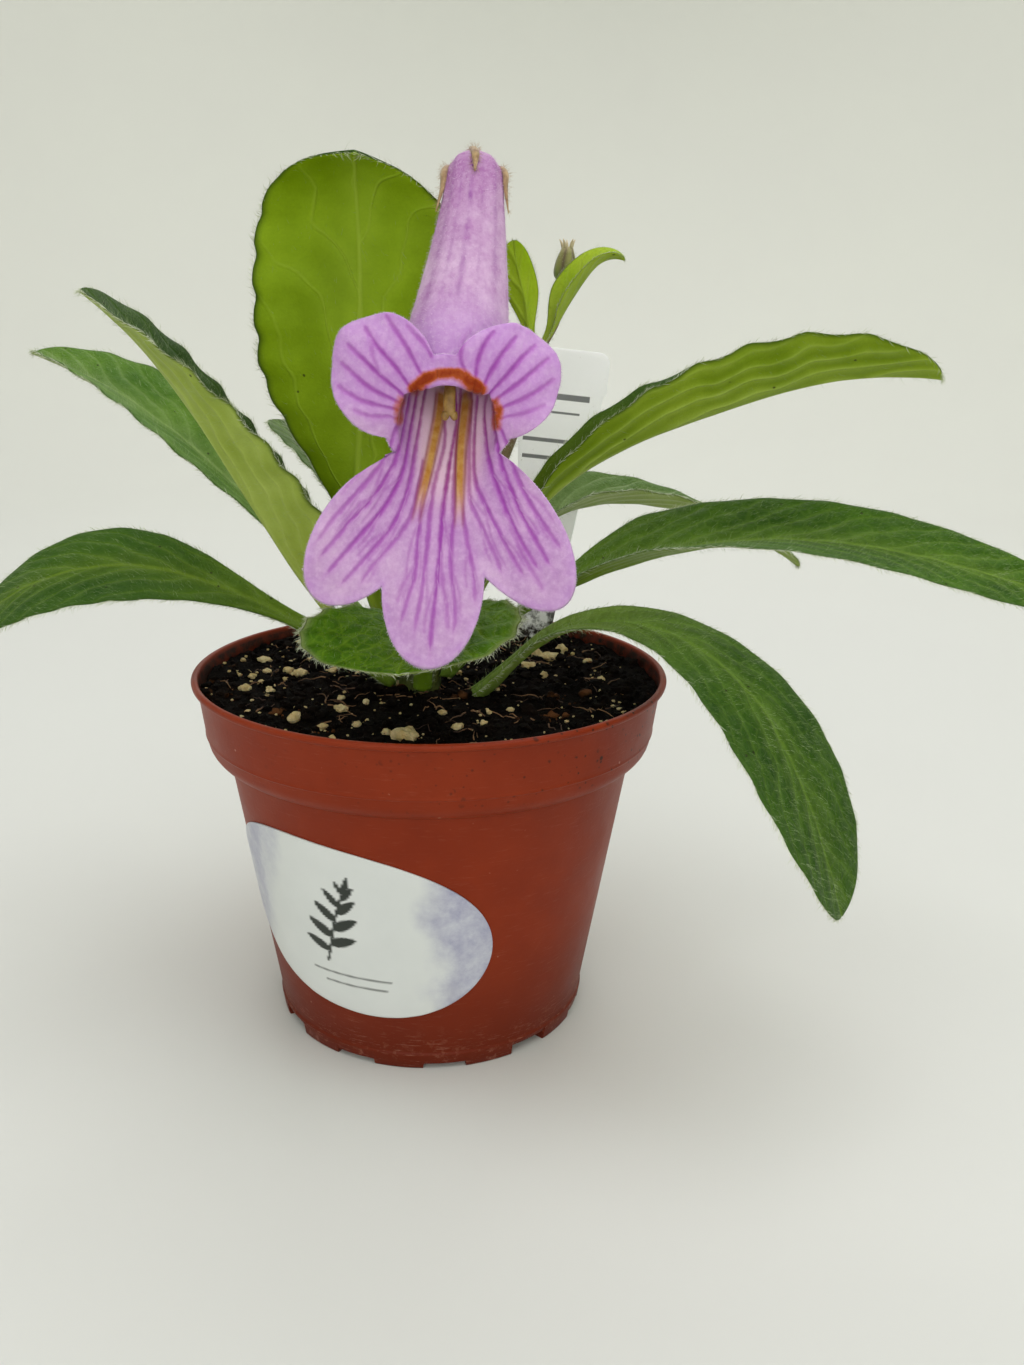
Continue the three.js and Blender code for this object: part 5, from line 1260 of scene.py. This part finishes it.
# Two scratches on the pot's front, each from one point to another in mm
SCRATCH = [(13.8, -27.7, 16), (21.6, -24.4, 27)]
SHORT_SCRATCH = [(25.5, -24.5, 38.5), (27.0, -23.2, 41)]


def scratch_line(look, place, ends, wide):
    """How much each place is on a fine straight scratch."""
    start, end = np.array(ends, float) * MM
    length = float(np.linalg.norm(end - start))
    step = tuple((end - start) / length)
    away = look.node("ShaderNodeVectorMath", {0: place, 1: tuple(start)}, operation="SUBTRACT").outputs[0]
    far = look.node("ShaderNodeVectorMath", {0: away, 1: step}, operation="DOT_PRODUCT").outputs["Value"]
    line = look.node("ShaderNodeVectorMath", {0: step}, operation="SCALE")
    look.tree.links.new(look.maths("MINIMUM", look.maths("MAXIMUM", far, 0.0), length), line.inputs["Scale"])
    off = look.node("ShaderNodeVectorMath", {0: away, 1: line.outputs[0]}, operation="SUBTRACT").outputs[0]
    # only what lies along the surface counts: the part towards the pot's axis is left out
    flat = look.node("ShaderNodeVectorMath", {0: off, 1: (0.72, 0.35, 1.0)}, operation="MULTIPLY").outputs[0]
    near = look.node("ShaderNodeVectorMath", {0: flat}, operation="LENGTH").outputs["Value"]
    broken = look.span(look.noise(700, 2), 0.35, 0.6, 0.3, 1.0)
    return look.maths("MULTIPLY", look.soft(near, wide * 3, wide), broken)


def build_pot():
    corners = [
        (0, 0, 0), (FLOOR_PAD_RADIUS, 0, 0.4), (FLOOR_PAD_RADIUS + 0.6, FOOT_RECESS, 0.3),
        (BASE_RADIUS - FOOT_WIDTH - 0.3, FOOT_RECESS, 0.3), (BASE_RADIUS - FOOT_WIDTH, 0, 0.3),
        (BASE_RADIUS + 0.3, 0, 0.35), (body_radius(FOOT_STEP_HEIGHT) + 0.3, FOOT_STEP_HEIGHT, 0.15),
        (body_radius(FOOT_STEP_HEIGHT + 0.2), FOOT_STEP_HEIGHT + 0.3, 0.2),
        (BODY_TOP_RADIUS, BODY_TOP_HEIGHT, 0.25), (BODY_TOP_RADIUS + 1.9, BODY_TOP_HEIGHT + 0.8, 0.8),
        (BODY_TOP_RADIUS + 3.1, BODY_TOP_HEIGHT + 2.2, 0.8), (BAND_BOTTOM_RADIUS - 0.12, BAND_BOTTOM_HEIGHT - 0.15, 0.3),
        (BAND_BOTTOM_RADIUS + 0.1, BAND_BOTTOM_HEIGHT + 0.05, 0.12), (BAND_BOTTOM_RADIUS + 0.03, BAND_BOTTOM_HEIGHT + 0.5, 0.2),
        (BAND_TOP_RADIUS, POT_HEIGHT - 1.3, 0.3), (LIP_RADIUS - 0.1, POT_HEIGHT - 1, 0.3),
        (LIP_RADIUS, POT_HEIGHT - 0.35, 0.3), (LIP_RADIUS - 0.45, POT_HEIGHT, 0.4),
        (LIP_RADIUS - 1.05, POT_HEIGHT - 0.05, 0.3), (BAND_TOP_RADIUS - 0.35, POT_HEIGHT - 1.2, 0.3),
        (BAND_BOTTOM_RADIUS - 0.9, BAND_BOTTOM_HEIGHT + 0.6, 0), (BODY_TOP_RADIUS - POT_WALL, BODY_TOP_HEIGHT + 0.4, 0),
        (body_radius(POT_FLOOR) - POT_WALL, POT_FLOOR, 0), (0, POT_FLOOR, 0),
    ]
    profile = subdivide(rounded_profile(corners, 3), 4.0)
    angles = list(np.arange(200) / 200 * 360)
    edges = []
    for i in range(FOOT_NOTCHES):
        middle = FIRST_NOTCH + 360 * i / FOOT_NOTCHES
        depth = FOOT_RECESS if i % 2 else FOOT_RECESS * 0.55
        edges.append((middle % 360, depth))
        angles += [(middle + side * NOTCH_ANGLE / 2 + off) % 360 for side in (-1, 1) for off in (-0.15, 0.15)]
    angles = np.unique(np.round(angles, 4))
    lift = np.zeros(len(angles))
    for middle, depth in edges:
        away = np.abs((angles - middle + 180) % 360 - 180)
        lift = np.where(away < NOTCH_ANGLE / 2, depth, lift)
    r, z = profile[:, None, 0], profile[:, None, 1]
    foot = (r > BASE_RADIUS - FOOT_WIDTH - 0.4) & (z < FOOT_RECESS + 0.01)
    z = np.where(foot, np.maximum(z, lift[None]), z + 0 * lift[None])
    a = np.radians(angles)[None]
    grid = np.stack([r * np.cos(a), r * np.sin(a), z], -1)
    inner = grid[1:-1]
    rows, columns = inner.shape[:2]
    points = np.concatenate([inner.reshape(-1, 3), [[0, 0, 0]], [[0, 0, POT_FLOOR]]])
    j = np.arange(columns)
    last = (rows - 1) * columns
    faces = [grid_faces(rows, columns, wrap=True)[:, ::-1],
             np.stack([np.full(columns, rows * columns), (j + 1) % columns, j], -1),
             np.stack([np.full(columns, rows * columns + 1), last + j, last + (j + 1) % columns], -1)]

    look = Look("pot_plastic", 0.42, Specular_IOR_Level=0.14)
    place = look.place()
    cut = look.node("ShaderNodeSeparateXYZ", {0: place}).outputs
    tone = look.mix(look.span(look.noise(28, 4, 0.6), 0.3, 0.7), srgb(128, 42, 14), srgb(140, 50, 20))
    tone = look.mix(look.span(look.noise(160, 3, 0.6), 0.35, 0.75, 0.0, 0.3), tone, srgb(112, 34, 12))
    # darker towards the foot: painted contact shadow, with some dirt
    tone = look.mix(look.span(cut["Z"], 0.0, 0.024, 0.75, 0.0), tone, srgb(84, 26, 9))
    # pale scuffs: fine scratches that run round and across, most of them on the foot
    near_foot = look.span(cut["Z"], 0.001, 0.009, 1.0, 0.0)
    scratch = look.noise(300, 5, 0.7, stretch=(1.0, 1.0, 9.0))
    worn = look.maths("MULTIPLY", look.span(scratch, 0.58, 0.7), look.maths("ADD", near_foot, 0.2))
    rubbed = look.maths("MULTIPLY", look.span(look.noise(420, 5, 0.7), 0.56, 0.7), near_foot)
    worn = look.maths("MAXIMUM", worn, rubbed)
    tone = look.mix(look.maths("MULTIPLY", worn, 0.5, clamp=True), tone, srgb(186, 128, 106))
    # a long light scratch across the body, and another short one
    for ends, wide in ((SCRATCH, 0.00022), (SHORT_SCRATCH, 0.00014)):
        tone = look.mix(look.maths("MULTIPLY", scratch_line(look, place, ends, wide), 0.75), tone,
                        srgb(186, 120, 96))
    # dust of soil on the band and under the lip, more of it towards +X
    east = look.span(cut["X"], -0.02, 0.034, 0.12, 1.0)
    band = look.maths("MULTIPLY", look.span(cut["Z"], 0.0465, 0.053), east)
    for scale, most in ((900, 0.5), (430, 0.56)):
        dots = look.maths("MULTIPLY", look.soft(look.cells(scale), 0.24, 0.14),
                          look.span(look.noise(scale * 0.45, 2), most, most + 0.04))
        tone = look.mix(look.maths("MULTIPLY", dots, band), tone, srgb(44, 24, 16))
    ticks = look.maths("MULTIPLY", look.soft(look.cells(520), 0.14, 0.08),
                       look.span(look.noise(230, 2), 0.64, 0.68))
    tone = look.mix(look.maths("MULTIPLY", ticks, 0.5), tone, srgb(206, 160, 140))
    # the inner wall below the lip darkened: soil stains and painted shade
    soil_stain_and_shade = look.maths("MULTIPLY", look.span(look.noise(330, 5, 0.7), 0.3, 0.55, 0.35, 1.0), look.value("inside"))
    tone = look.mix(look.maths("MULTIPLY", soil_stain_and_shade, 0.95), tone, srgb(26, 16, 10))
    look.set("Base Color", tone)
    look.set("Roughness", look.span(look.noise(90, 4, 0.6), 0.3, 0.7, 0.36, 0.5))
    look.bump(look.maths("ADD", look.maths("MULTIPLY", look.noise(1400, 3), 0.5), look.maths("MULTIPLY", worn, -1.0)),
              depth=0.00005)
    lip = int(np.argmax(profile[:, 1]))
    inside = np.zeros((rows, columns))
    inside[lip:] = smoothstep(POT_HEIGHT - inner[lip:, :, 2], 0.35, 0.8)
    piece = make("pot_shell", points, faces, [look.material],
                 values={"inside": np.concatenate([inside.ravel(), [0, 1]])}, replaces=["pot"])
    drill_parts = []
    for i in range(DRAIN_HOLES):
        a = TAU * i / DRAIN_HOLES
        x, y = DRAIN_HOLE_RING * math.cos(a), DRAIN_HOLE_RING * math.sin(a)
        drill_parts.append(tube([[x, y, -1], [x, y, 1], [x, y, 5]], DRAIN_HOLE_RADIUS, 36))
    drill_points, drill_faces = join(drill_parts)
    drill = make("drill", drill_points, drill_faces, [look.material])
    cutter = piece.modifiers.new("holes", "BOOLEAN")
    cutter.operation = "DIFFERENCE"
    cutter.object = drill
    cutter.solver = "EXACT"
    bpy.context.view_layer.objects.active = piece
    bpy.ops.object.modifier_apply(modifier="holes")
    bpy.data.objects.remove(drill)
    piece.data.set_sharp_from_angle(angle=math.radians(38))
    return piece


build_pot()


# ---------------------------------------------------------------- soil
def soil_relief(x, y):
    p = np.stack([x, y, 0 * x], -1)
    relief = 0.55 * layered_noise(p * 0.16, 2, 3) + 0.55 * layered_noise(p * 0.55, 3, 4)
    relief = relief + 0.22 * np.abs(layered_noise(p * 1.7, 2, 6))
    from_crown = np.hypot(x - CROWN_AXIS[0], y - CROWN_AXIS[1])
    return BED_HEIGHT + relief * 0.75 - 0.25 - 1.6 * np.exp(-(from_crown / 9) ** 2)


def build_soil():
    wall = BAND_TOP_RADIUS - 0.75
    rows, columns = 84, 240
    radius = wall * np.sqrt(np.linspace(0.0004, 1, rows))[:, None]
    angle = np.arange(columns)[None] / columns * TAU
    x, y = radius * np.cos(angle), radius * np.sin(angle)
    height = soil_relief(x, y)
    top = np.stack([x, y, height], -1)
    rim = BAND_BOTTOM_RADIUS - POT_WALL - 0.35
    sides = [np.stack([r * np.cos(angle[0]), r * np.sin(angle[0]), z + 0 * angle[0]], -1) for r, z in (
        (rim, BAND_BOTTOM_HEIGHT + 0.6), (BODY_TOP_RADIUS - POT_WALL - 0.3, BODY_TOP_HEIGHT),
        (body_radius(20) - POT_WALL - 0.3, 20), (body_radius(POT_FLOOR) - POT_WALL - 0.3, POT_FLOOR + 0.3),
        (14, POT_FLOOR + 0.3))]
    grid = np.concatenate([top, np.array(sides)])
    n = grid.shape[0]
    points = np.concatenate([grid.reshape(-1, 3), [[0, 0, soil_relief(np.zeros(1), np.zeros(1))[0]]],
                             [[0, 0, POT_FLOOR + 0.3]]])
    j = np.arange(columns)
    last = (n - 1) * columns
    faces = [grid_faces(n, columns, wrap=True),
             np.stack([np.full(columns, n * columns), j, (j + 1) % columns], -1),
             np.stack([np.full(columns, n * columns + 1), last + (j + 1) % columns, last + j], -1)]
    look = Look("soil_mix", 0.9, Specular_IOR_Level=0.05)
    tone = look.mix(look.span(look.noise(260, 6, 0.7), 0.3, 0.7), srgb(4, 3, 2), srgb(15, 9, 6))
    tone = look.mix(look.span(look.noise(900, 4, 0.7), 0.62, 0.76), tone, srgb(56, 34, 20))
    look.set("Base Color", tone)
    look.bump(look.maths("ADD", look.noise(700, 5, 0.7), look.noise(2400, 3)), depth=0.0005)
    make("soil_bed", points, faces, [look.material], replaces=["soil"])

    draw = np.random.default_rng(5)

    def spread(count, reach=wall - 0.6):
        r, a = reach * np.sqrt(draw.uniform(0, 1, count)), draw.uniform(0, TAU, count)
        return r * np.cos(a), r * np.sin(a)

    crumb = Look("soil_crumbs", 0.85, Specular_IOR_Level=0.06)
    shade = crumb.mix(crumb.span(crumb.noise(330, 2), 0.3, 0.7), srgb(4, 3, 2), srgb(20, 12, 7))
    shade = crumb.mix(crumb.span(crumb.noise(130, 2), 0.64, 0.7), shade, srgb(92, 58, 32))
    crumb.set("Base Color", shade)
    crumb.bump(crumb.noise(2600, 4, 0.7), depth=0.0003)
    x, y = spread(900)
    sizes = 0.3 + 0.8 * draw.uniform(0, 1, 900) ** 2.2
    big = lumps(np.stack([x, y, soil_relief(x, y) + 0.25 * sizes], -1), sizes, 1, 41, rough=0.5)
    x, y = spread(1900)
    sizes = draw.uniform(0.14, 0.34, 1900)
    small = lumps(np.stack([x, y, soil_relief(x, y) + 0.3 * sizes], -1), sizes, 0, 42, rough=0.5)
    points, faces = join([big, small])
    make("soil_crumbs", points, faces, [crumb.material], smooth=False)

    strands = []
    for _ in range(170):
        r, a = (wall - 3) * math.sqrt(draw.uniform()), draw.uniform(0, TAU)
        start = np.array([r * math.cos(a), r * math.sin(a), 0])
        heading, long = draw.uniform(0, TAU), draw.uniform(2, 7)
        steps = np.linspace(0, 1, 9)
        bend = draw.uniform(-1.4, 1.4)
        px = start[0] + np.cumsum(np.cos(heading + bend * steps)) * long / 9
        py = start[1] + np.cumsum(np.sin(heading + bend * steps)) * long / 9
        keep = np.hypot(px, py).max() < wall - 0.3
        if keep:
            pz = soil_relief(px, py) + 0.15 + 0.5 * np.sin(steps * math.pi) * draw.uniform(0.1, 0.8)
            strands.append(tube(np.stack([px, py, pz], -1), np.linspace(0.11, 0.04, 9) * draw.uniform(0.6, 1.5), 5))
    fibre = Look("soil_fibres", 0.8)
    fibre.set("Base Color", fibre.mix(fibre.span(fibre.noise(160, 2), 0.4, 0.6), srgb(58, 38, 26), srgb(140, 104, 70)))
    points, faces = join(strands)
    make("soil_fibres", points, faces, [fibre.material])

    # pale grains where the photograph shows them, and others by chance on the rest of the bed
    seen = [(226, 660, 1.1), (265, 656, 1.4), (261, 679, 1.0), (245, 686, 1.1), (270, 688, 1.0), (341, 704, 1.2),
            (294, 717, 1.2), (323, 724, 0.9), (357, 722, 0.8), (332, 737, 0.8), (386, 729, 1.0), (404, 734, 1.9),
            (442, 708, 1.0), (487, 709, 1.0), (483, 720, 0.9), (457, 722, 1.0), (548, 654, 1.8), (528, 666, 1.3),
            (341, 696, 0.8), (366, 700, 0.7), (510, 706, 0.6), (300, 640, 0.8), (239, 672, 0.5), (312, 735, 0.5)]
    seen = np.array(seen)
    spots = at_height(seen[:, :2], BED_HEIGHT + 0.4)
    x, y = spread(130, wall - 2)
    hidden = (y > -2) | (np.abs(x) > 26)
    x, y = x[hidden], y[hidden]
    sizes = np.concatenate([seen[:, 2] * 0.8, 0.3 + 0.9 * draw.uniform(0, 1, len(x)) ** 3])
    x, y = np.concatenate([spots[:, 0], x]), np.concatenate([spots[:, 1], y])
    inside = np.hypot(x, y) < wall - 1
    x, y, sizes = x[inside], y[inside], sizes[inside]
    grains = lumps(np.stack([x, y, soil_relief(x, y) + 0.35 * sizes], -1), sizes, 2, 43, rough=0.42, squash=0.72)
    x, y = spread(300)
    sizes = draw.uniform(0.12, 0.3, 300)
    dust = lumps(np.stack([x, y, soil_relief(x, y) + 0.4 * sizes], -1), sizes, 1, 44)
    perlite = Look("perlite", 0.8, Subsurface_Weight=0.1, Subsurface_Scale=0.001)
    shade = perlite.mix(perlite.span(perlite.noise(420, 4, 0.7), 0.35, 0.7), srgb(186, 160, 100), srgb(222, 206, 160))
    shade = perlite.mix(perlite.span(perlite.noise(900, 4, 0.7), 0.6, 0.75), shade, srgb(96, 70, 44))
    perlite.set("Base Color", shade)
    perlite.bump(perlite.maths("ADD", perlite.noise(1300, 4, 0.7), perlite.cells(1500)), depth=0.0004)
    points, faces = join([grains, dust])
    make("soil_perlite", points, faces, [perlite.material])


build_soil()


# ---------------------------------------------------------------- crown
def build_crown():
    look = Look("crown", 0.6)
    look.set("Base Color", look.mix(look.span(look.noise(260, 4, 0.6), 0.35, 0.65), srgb(52, 74, 14),
                                    srgb(84, 92, 30)))
    look.bump(look.noise(1400, 4), depth=0.0003)
    path = [[CROWN_AXIS[0], CROWN_AXIS[1], z] for z in np.linspace(45, 64.9, 24)]
    radii = np.interp(np.linspace(45, 64.9, 24), [45, 51.2, 56.2, 62, 64.4, 64.9], [1.4, 2.6, 3.6, 3.6, 2.2, 0.3])
    points, faces = tube(path, radii, 28)
    points[:, :2] += 0.18 * noise(points * 0.9, 4)[:, None]
    make("crown_stem", points, faces, [look.material], replaces=["crown"])


build_crown()


# ---------------------------------------------------------------- label and sticker
LABEL_PLACE = np.array([19.6, 27.6, 57.2])
LABEL_LEAN = math.radians(5.4)
# plain rules on the label: height above the soil, middle, half length and half thickness in mm
LABEL_RULES = [(47.5, 0.0, 5.6, 0.55), (44.6, -0.6, 4.6, 0.2), (39.4, 0.0, 6.2, 0.35), (36.2, -0.4, 5.6, 0.35),
               (31.0, 0.0, 5.8, 0.16), (29.0, -0.5, 5.2, 0.16), (27.0, 0.3, 4.8, 0.16), (20.5, 0.0, 3.6, 0.2)]


def build_label():
    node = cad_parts["plant_label"]
    look = Look("label_plastic", 0.35, Specular_IOR_Level=0.35, Subsurface_Weight=0.7,
                Subsurface_Radius=(1.0, 1.0, 1.0), Subsurface_Scale=0.002)
    place = look.place()
    side = np.array([math.cos(LABEL_LEAN), 0, -math.sin(LABEL_LEAN)])
    rise = np.array([math.sin(LABEL_LEAN), 0, math.cos(LABEL_LEAN)])

    def along(axis):
        far = look.node("ShaderNodeVectorMath", {0: place, 1: tuple(axis)}, operation="DOT_PRODUCT").outputs["Value"]
        return look.maths("MULTIPLY", look.maths("SUBTRACT", far, float(LABEL_PLACE @ axis) * MM), 1000.0)

    u, v = along(side), along(rise)
    tone = look.mix(look.noise(60, 3), srgb(250, 252, 251), srgb(254, 255, 255))
    facing = look.node("ShaderNodeSeparateXYZ", {0: look.node("ShaderNodeTexCoord").outputs["Normal"]})
    front = look.maths("LESS_THAN", facing.outputs["Y"], -0.5)
    printed = 0.0
    for height, middle, half, thick in LABEL_RULES:
        in_height = look.soft(look.maths("ABSOLUTE", look.maths("SUBTRACT", v, height)), thick + 0.08, thick - 0.06)
        in_width = look.maths("LESS_THAN", look.maths("ABSOLUTE", look.maths("SUBTRACT", u, middle)), half)
        printed = look.maths("MAXIMUM", look.maths("MULTIPLY", in_height, in_width), printed)
    tone = look.mix(look.maths("MULTIPLY", look.maths("MULTIPLY", printed, front), 0.82), tone, srgb(52, 54, 56))
    # soil that clings to the foot of the label
    low = look.span(v, 0.5, 16.0, 1.0, 0.0)
    smear = look.maths("MULTIPLY", look.span(look.noise(420, 5, 0.7), 0.4, 0.56), low)
    tone = look.mix(look.maths("MULTIPLY", smear, 1.4, clamp=True), tone, srgb(36, 28, 22))
    tone = look.mix(look.maths("MULTIPLY", look.span(look.noise(900, 4, 0.7), 0.66, 0.72), 0.35), tone,
                    srgb(120, 104, 84))
    look.set("Base Color", tone)
    look.bump(look.noise(1200, 3), depth=0.00003)
    node.data.materials.clear()
    node.data.materials.append(look.material)
    soften = node.modifiers.new("edge", "BEVEL")
    soften.width = 0.00018
    soften.segments = 2
    soften.limit_method = "ANGLE"
    soften.angle_limit = math.radians(40)


STICKER_FROM, STICKER_TO = -168, -72
STICKER_MIDDLE_HEIGHT, STICKER_HALF_HEIGHT, STICKER_SLOPE = 25.8, 15.4, -0.05


def build_sticker():
    columns, rows = 200, 136
    middle, reach = (STICKER_FROM + STICKER_TO) / 2, (STICKER_TO - STICKER_FROM) / 2
    off = np.sin(np.linspace(-1, 1, columns) * math.pi / 2)[:, None]
    angle = middle + reach * off
    half = STICKER_HALF_HEIGHT * np.maximum(1 - np.abs(off) ** 2.3, 0.00001) ** 0.5
    v = np.linspace(-1, 1, rows)[None]
    z = STICKER_MIDDLE_HEIGHT + STICKER_SLOPE * (angle - middle) + half * v
    lean = math.atan2(BODY_TOP_RADIUS - BASE_RADIUS, BODY_TOP_HEIGHT)
    a = np.radians(angle) + 0 * v
    wrinkle = 0.03 * noise(np.stack([a * 16, z * 0.25, 0 * z], -1), 3)
    near_edge = np.maximum(np.abs(off) ** 8, np.abs(v) ** 14)

    def skin(proud):
        radius = body_radius(z) + (proud + wrinkle) * math.cos(lean)
        return np.stack([radius * np.cos(a), radius * np.sin(a), z - proud * math.sin(lean)], -1)

    outer, inner = skin(0.34 - 0.1 * near_edge), skin(0.02 + 0 * near_edge)
    n = columns * rows
    index = np.arange(n).reshape(columns, rows)
    behind = n + np.arange(columns * 2).reshape(columns, 2)
    points = np.concatenate([outer.reshape(-1, 3), inner[:, [0, -1]].reshape(-1, 3)])
    faces = [grid_faces(columns, rows), grid_faces(columns, 2, start=n)[:, ::-1]]
    low, high = index[:, 0], index[:, -1]
    faces += [np.stack([low[1:], low[:-1], behind[:-1, 0], behind[1:, 0]], -1),
              np.stack([high[:-1], high[1:], behind[1:, 1], behind[:-1, 1]], -1)]
    for end, turn in ((0, 1), (-1, -1)):
        line, corner = index[end], behind[end]
        fan = np.stack([line[:-1], line[1:], np.full(rows - 1, corner[0])], -1)
        fan = np.concatenate([fan, [[corner[0], line[-1], corner[1]]]])
        faces.append(fan[:, ::turn])
    # flat coordinates on the paper, in mm from its middle
    across = np.radians(angle - middle) * body_radius(z)
    flat = np.stack([across, z - STICKER_MIDDLE_HEIGHT], -1)
    cloud = layered_noise(np.stack([flat[..., 0] * 0.2, flat[..., 1] * 0.2, 0 * z], -1), 4, 8)
    right_end = smoothstep(across + 1.6 * cloud, 13.5, 20.5)
    left_end = smoothstep(-across + 0.35 * flat[..., 1] + 1.5 * cloud, 13, 20)
    wash = np.clip(right_end + 0.8 * left_end, 0, 1)
    ink = sticker_sprig(flat)

    def with_back(grid):
        return np.concatenate([grid.ravel(), grid[:, [0, -1]].ravel()])

    look = Look("sticker_paper", 0.3, Specular_IOR_Level=0.35)
    paper = look.mix(look.noise(90, 3), srgb(214, 218, 216), srgb(228, 231, 229))
    blots = look.span(look.noise(260, 6, 0.7), 0.32, 0.66, 0.15, 1.0)
    stain = look.maths("MULTIPLY", look.value("wash"), blots)
    paper = look.mix(look.maths("MULTIPLY", stain, 0.9, clamp=True), paper, srgb(124, 120, 158))
    paper = look.mix(look.maths("MULTIPLY", look.value("wash"), 0.35), paper, srgb(188, 190, 214))
    paper = look.mix(look.value("ink"), paper, srgb(44, 50, 44))
    look.set("Base Color", paper)
    look.bump(look.noise(700, 3), depth=0.00003)
    make("pot_sticker_paper", points, faces, [look.material],
         values={"wash": with_back(wash), "ink": with_back(ink)}, replaces=["pot_sticker"])


def sticker_sprig(flat):
    """A plain sprig of leaves with two plain rules under it."""
    place = flat - np.array([0.5, 1.0])
    stem, along = distance_to_line(place, smooth_line([(-2.2, -7.2), (-1.0, -3.0), (0.2, 1.5), (2.4, 7.0)]))
    ink = 1 - smoothstep(stem, 0.16, 0.34)
    for x, y, turn, size in ((-1.7, -5.0, 158, 4.6), (-1.3, -3.8, 20, 5.0), (-0.8, -2.2, 150, 5.0),
                             (-0.4, -0.8, 30, 5.0), (0.1, 0.9, 142, 4.6), (0.6, 2.4, 40, 4.4),
                             (1.1, 3.8, 134, 3.8), (1.7, 5.2, 48, 3.4), (2.1, 6.2, 120, 2.6),
                             (2.4, 6.8, 72, 3.0)):
        c, s = math.cos(math.radians(turn)), math.sin(math.radians(turn))
        u = ((place[..., 0] - x) * c + (place[..., 1] - y) * s) / size
        w = (-(place[..., 0] - x) * s + (place[..., 1] - y) * c) / size
        blade = np.abs(w) - 0.42 * np.sqrt(np.clip(u * (1 - u), 0, 1)) * (1.1 - 0.5 * u)
        ink = np.maximum(ink, (1 - smoothstep(blade * size, -0.1, 0.1)) * ((u > 0.02) & (u < 1)))
    for y, x, half in ((-9.4, 1.5, 7.0), (-11.2, 2.2, 5.4)):
        rule = np.maximum(np.abs(place[..., 1] - y) - 0.12, np.abs(place[..., 0] - x) - half)
        ink = np.maximum(ink, 0.75 * (1 - smoothstep(rule, -0.05, 0.16)))
    return ink


build_label()
build_sticker()


# ---------------------------------------------------------------- floor, lights and camera
def build_stage():
    profile = [(0.0, 0.0)] + [(0.62 + 0.4 * math.sin(a), 0.4 - 0.4 * math.cos(a))
                              for a in np.linspace(0, math.pi / 2, 24)] + [(1.02, 1.7)]
    profile = np.array([(0.0, 0.0), (0.2, 0.0), (0.45, 0.0), *profile[1:]])
    columns = 96
    angle = np.arange(columns) / columns * TAU
    ring = profile[1:]
    grid = np.stack([ring[:, :1] * np.cos(angle), ring[:, :1] * np.sin(angle), ring[:, 1:] + 0 * angle], -1)
    mesh = bpy.data.meshes.new("floor")
    rows = len(ring)
    faces = [tuple(f) for f in grid_faces(rows, columns, wrap=True).tolist()]
    faces += [(rows * columns, j, (j + 1) % columns) for j in range(columns)]
    mesh.from_pydata(np.concatenate([grid.reshape(-1, 3), [[0, 0, 0]]]).tolist(), [], faces)
    mesh.polygons.foreach_set("use_smooth", [True] * len(faces))
    floor = bpy.data.objects.new("floor", mesh)
    bpy.context.scene.collection.objects.link(floor)
    look = Look("floor", 0.75, Specular_IOR_Level=0.2)
    away = look.node("ShaderNodeVectorMath", {0: look.place()}, operation="LENGTH").outputs["Value"]
    tone = look.mix(look.span(away, 0.3, 0.95), srgb(219, 220, 216), srgb(223, 224, 216))
    tone = look.mix(look.span(look.noise(9, 4, 0.6), 0.3, 0.7, 0.0, 0.2), tone, srgb(216, 215, 211))
    look.set("Base Color", tone)
    mesh.materials.append(look.material)


def area_light(name, place, target, size, power, colour=(1, 1, 1)):
    data = bpy.data.lights.new(name, "AREA")
    data.shape = "RECTANGLE"
    data.size, data.size_y = size
    data.energy = power
    data.color = colour
    lamp = bpy.data.objects.new(name, data)
    bpy.context.scene.collection.objects.link(lamp)
    away = unit(np.array(target, float) - np.array(place, float))
    side = unit(np.cross(away, [0.01, 0, 1]))
    up = np.cross(side, away)
    lamp.visible_camera = False
    lamp.matrix_world = Matrix([[side[0], up[0], -away[0], place[0]], [side[1], up[1], -away[1], place[1]],
                                [side[2], up[2], -away[2], place[2]], [0, 0, 0, 1]])


def build_camera():
    data = bpy.data.cameras.new("camera")
    data.sensor_fit = "AUTO"
    data.sensor_width = 36
    data.lens = FOCAL_PIXELS / IMAGE[1] * 36
    data.clip_start, data.clip_end = 0.01, 20
    camera = bpy.data.objects.new("camera", data)
    bpy.context.scene.collection.objects.link(camera)
    columns = [RIGHT, ABOVE, -FORWARD, EYE * MM]
    camera.matrix_world = Matrix([[float(c[k]) for c in columns] for k in range(3)] + [[0, 0, 0, 1]])
    bpy.context.scene.camera = camera


build_stage()
area_light("key", (0.15, -0.15, 0.95), (0, 0, 0.05), (0.9, 0.9), 4.6, (1.0, 0.995, 0.985))
area_light("front", (-0.07, -0.58, 0.31), (0, 0, 0.08), (0.54, 0.34), 1.02)
area_light("back", (0.1, 0.75, 0.75), (0, 0, 0.1), (0.8, 0.5), 2.5)
world = bpy.data.worlds.new("world")
bpy.context.scene.world = world
world.use_nodes = True
world.node_tree.nodes["Background"].inputs[0].default_value = (0.97, 0.98, 1.0, 1)
world.node_tree.nodes["Background"].inputs[1].default_value = 0.55
bpy.context.scene.view_settings.view_transform = "Standard"
build_camera()
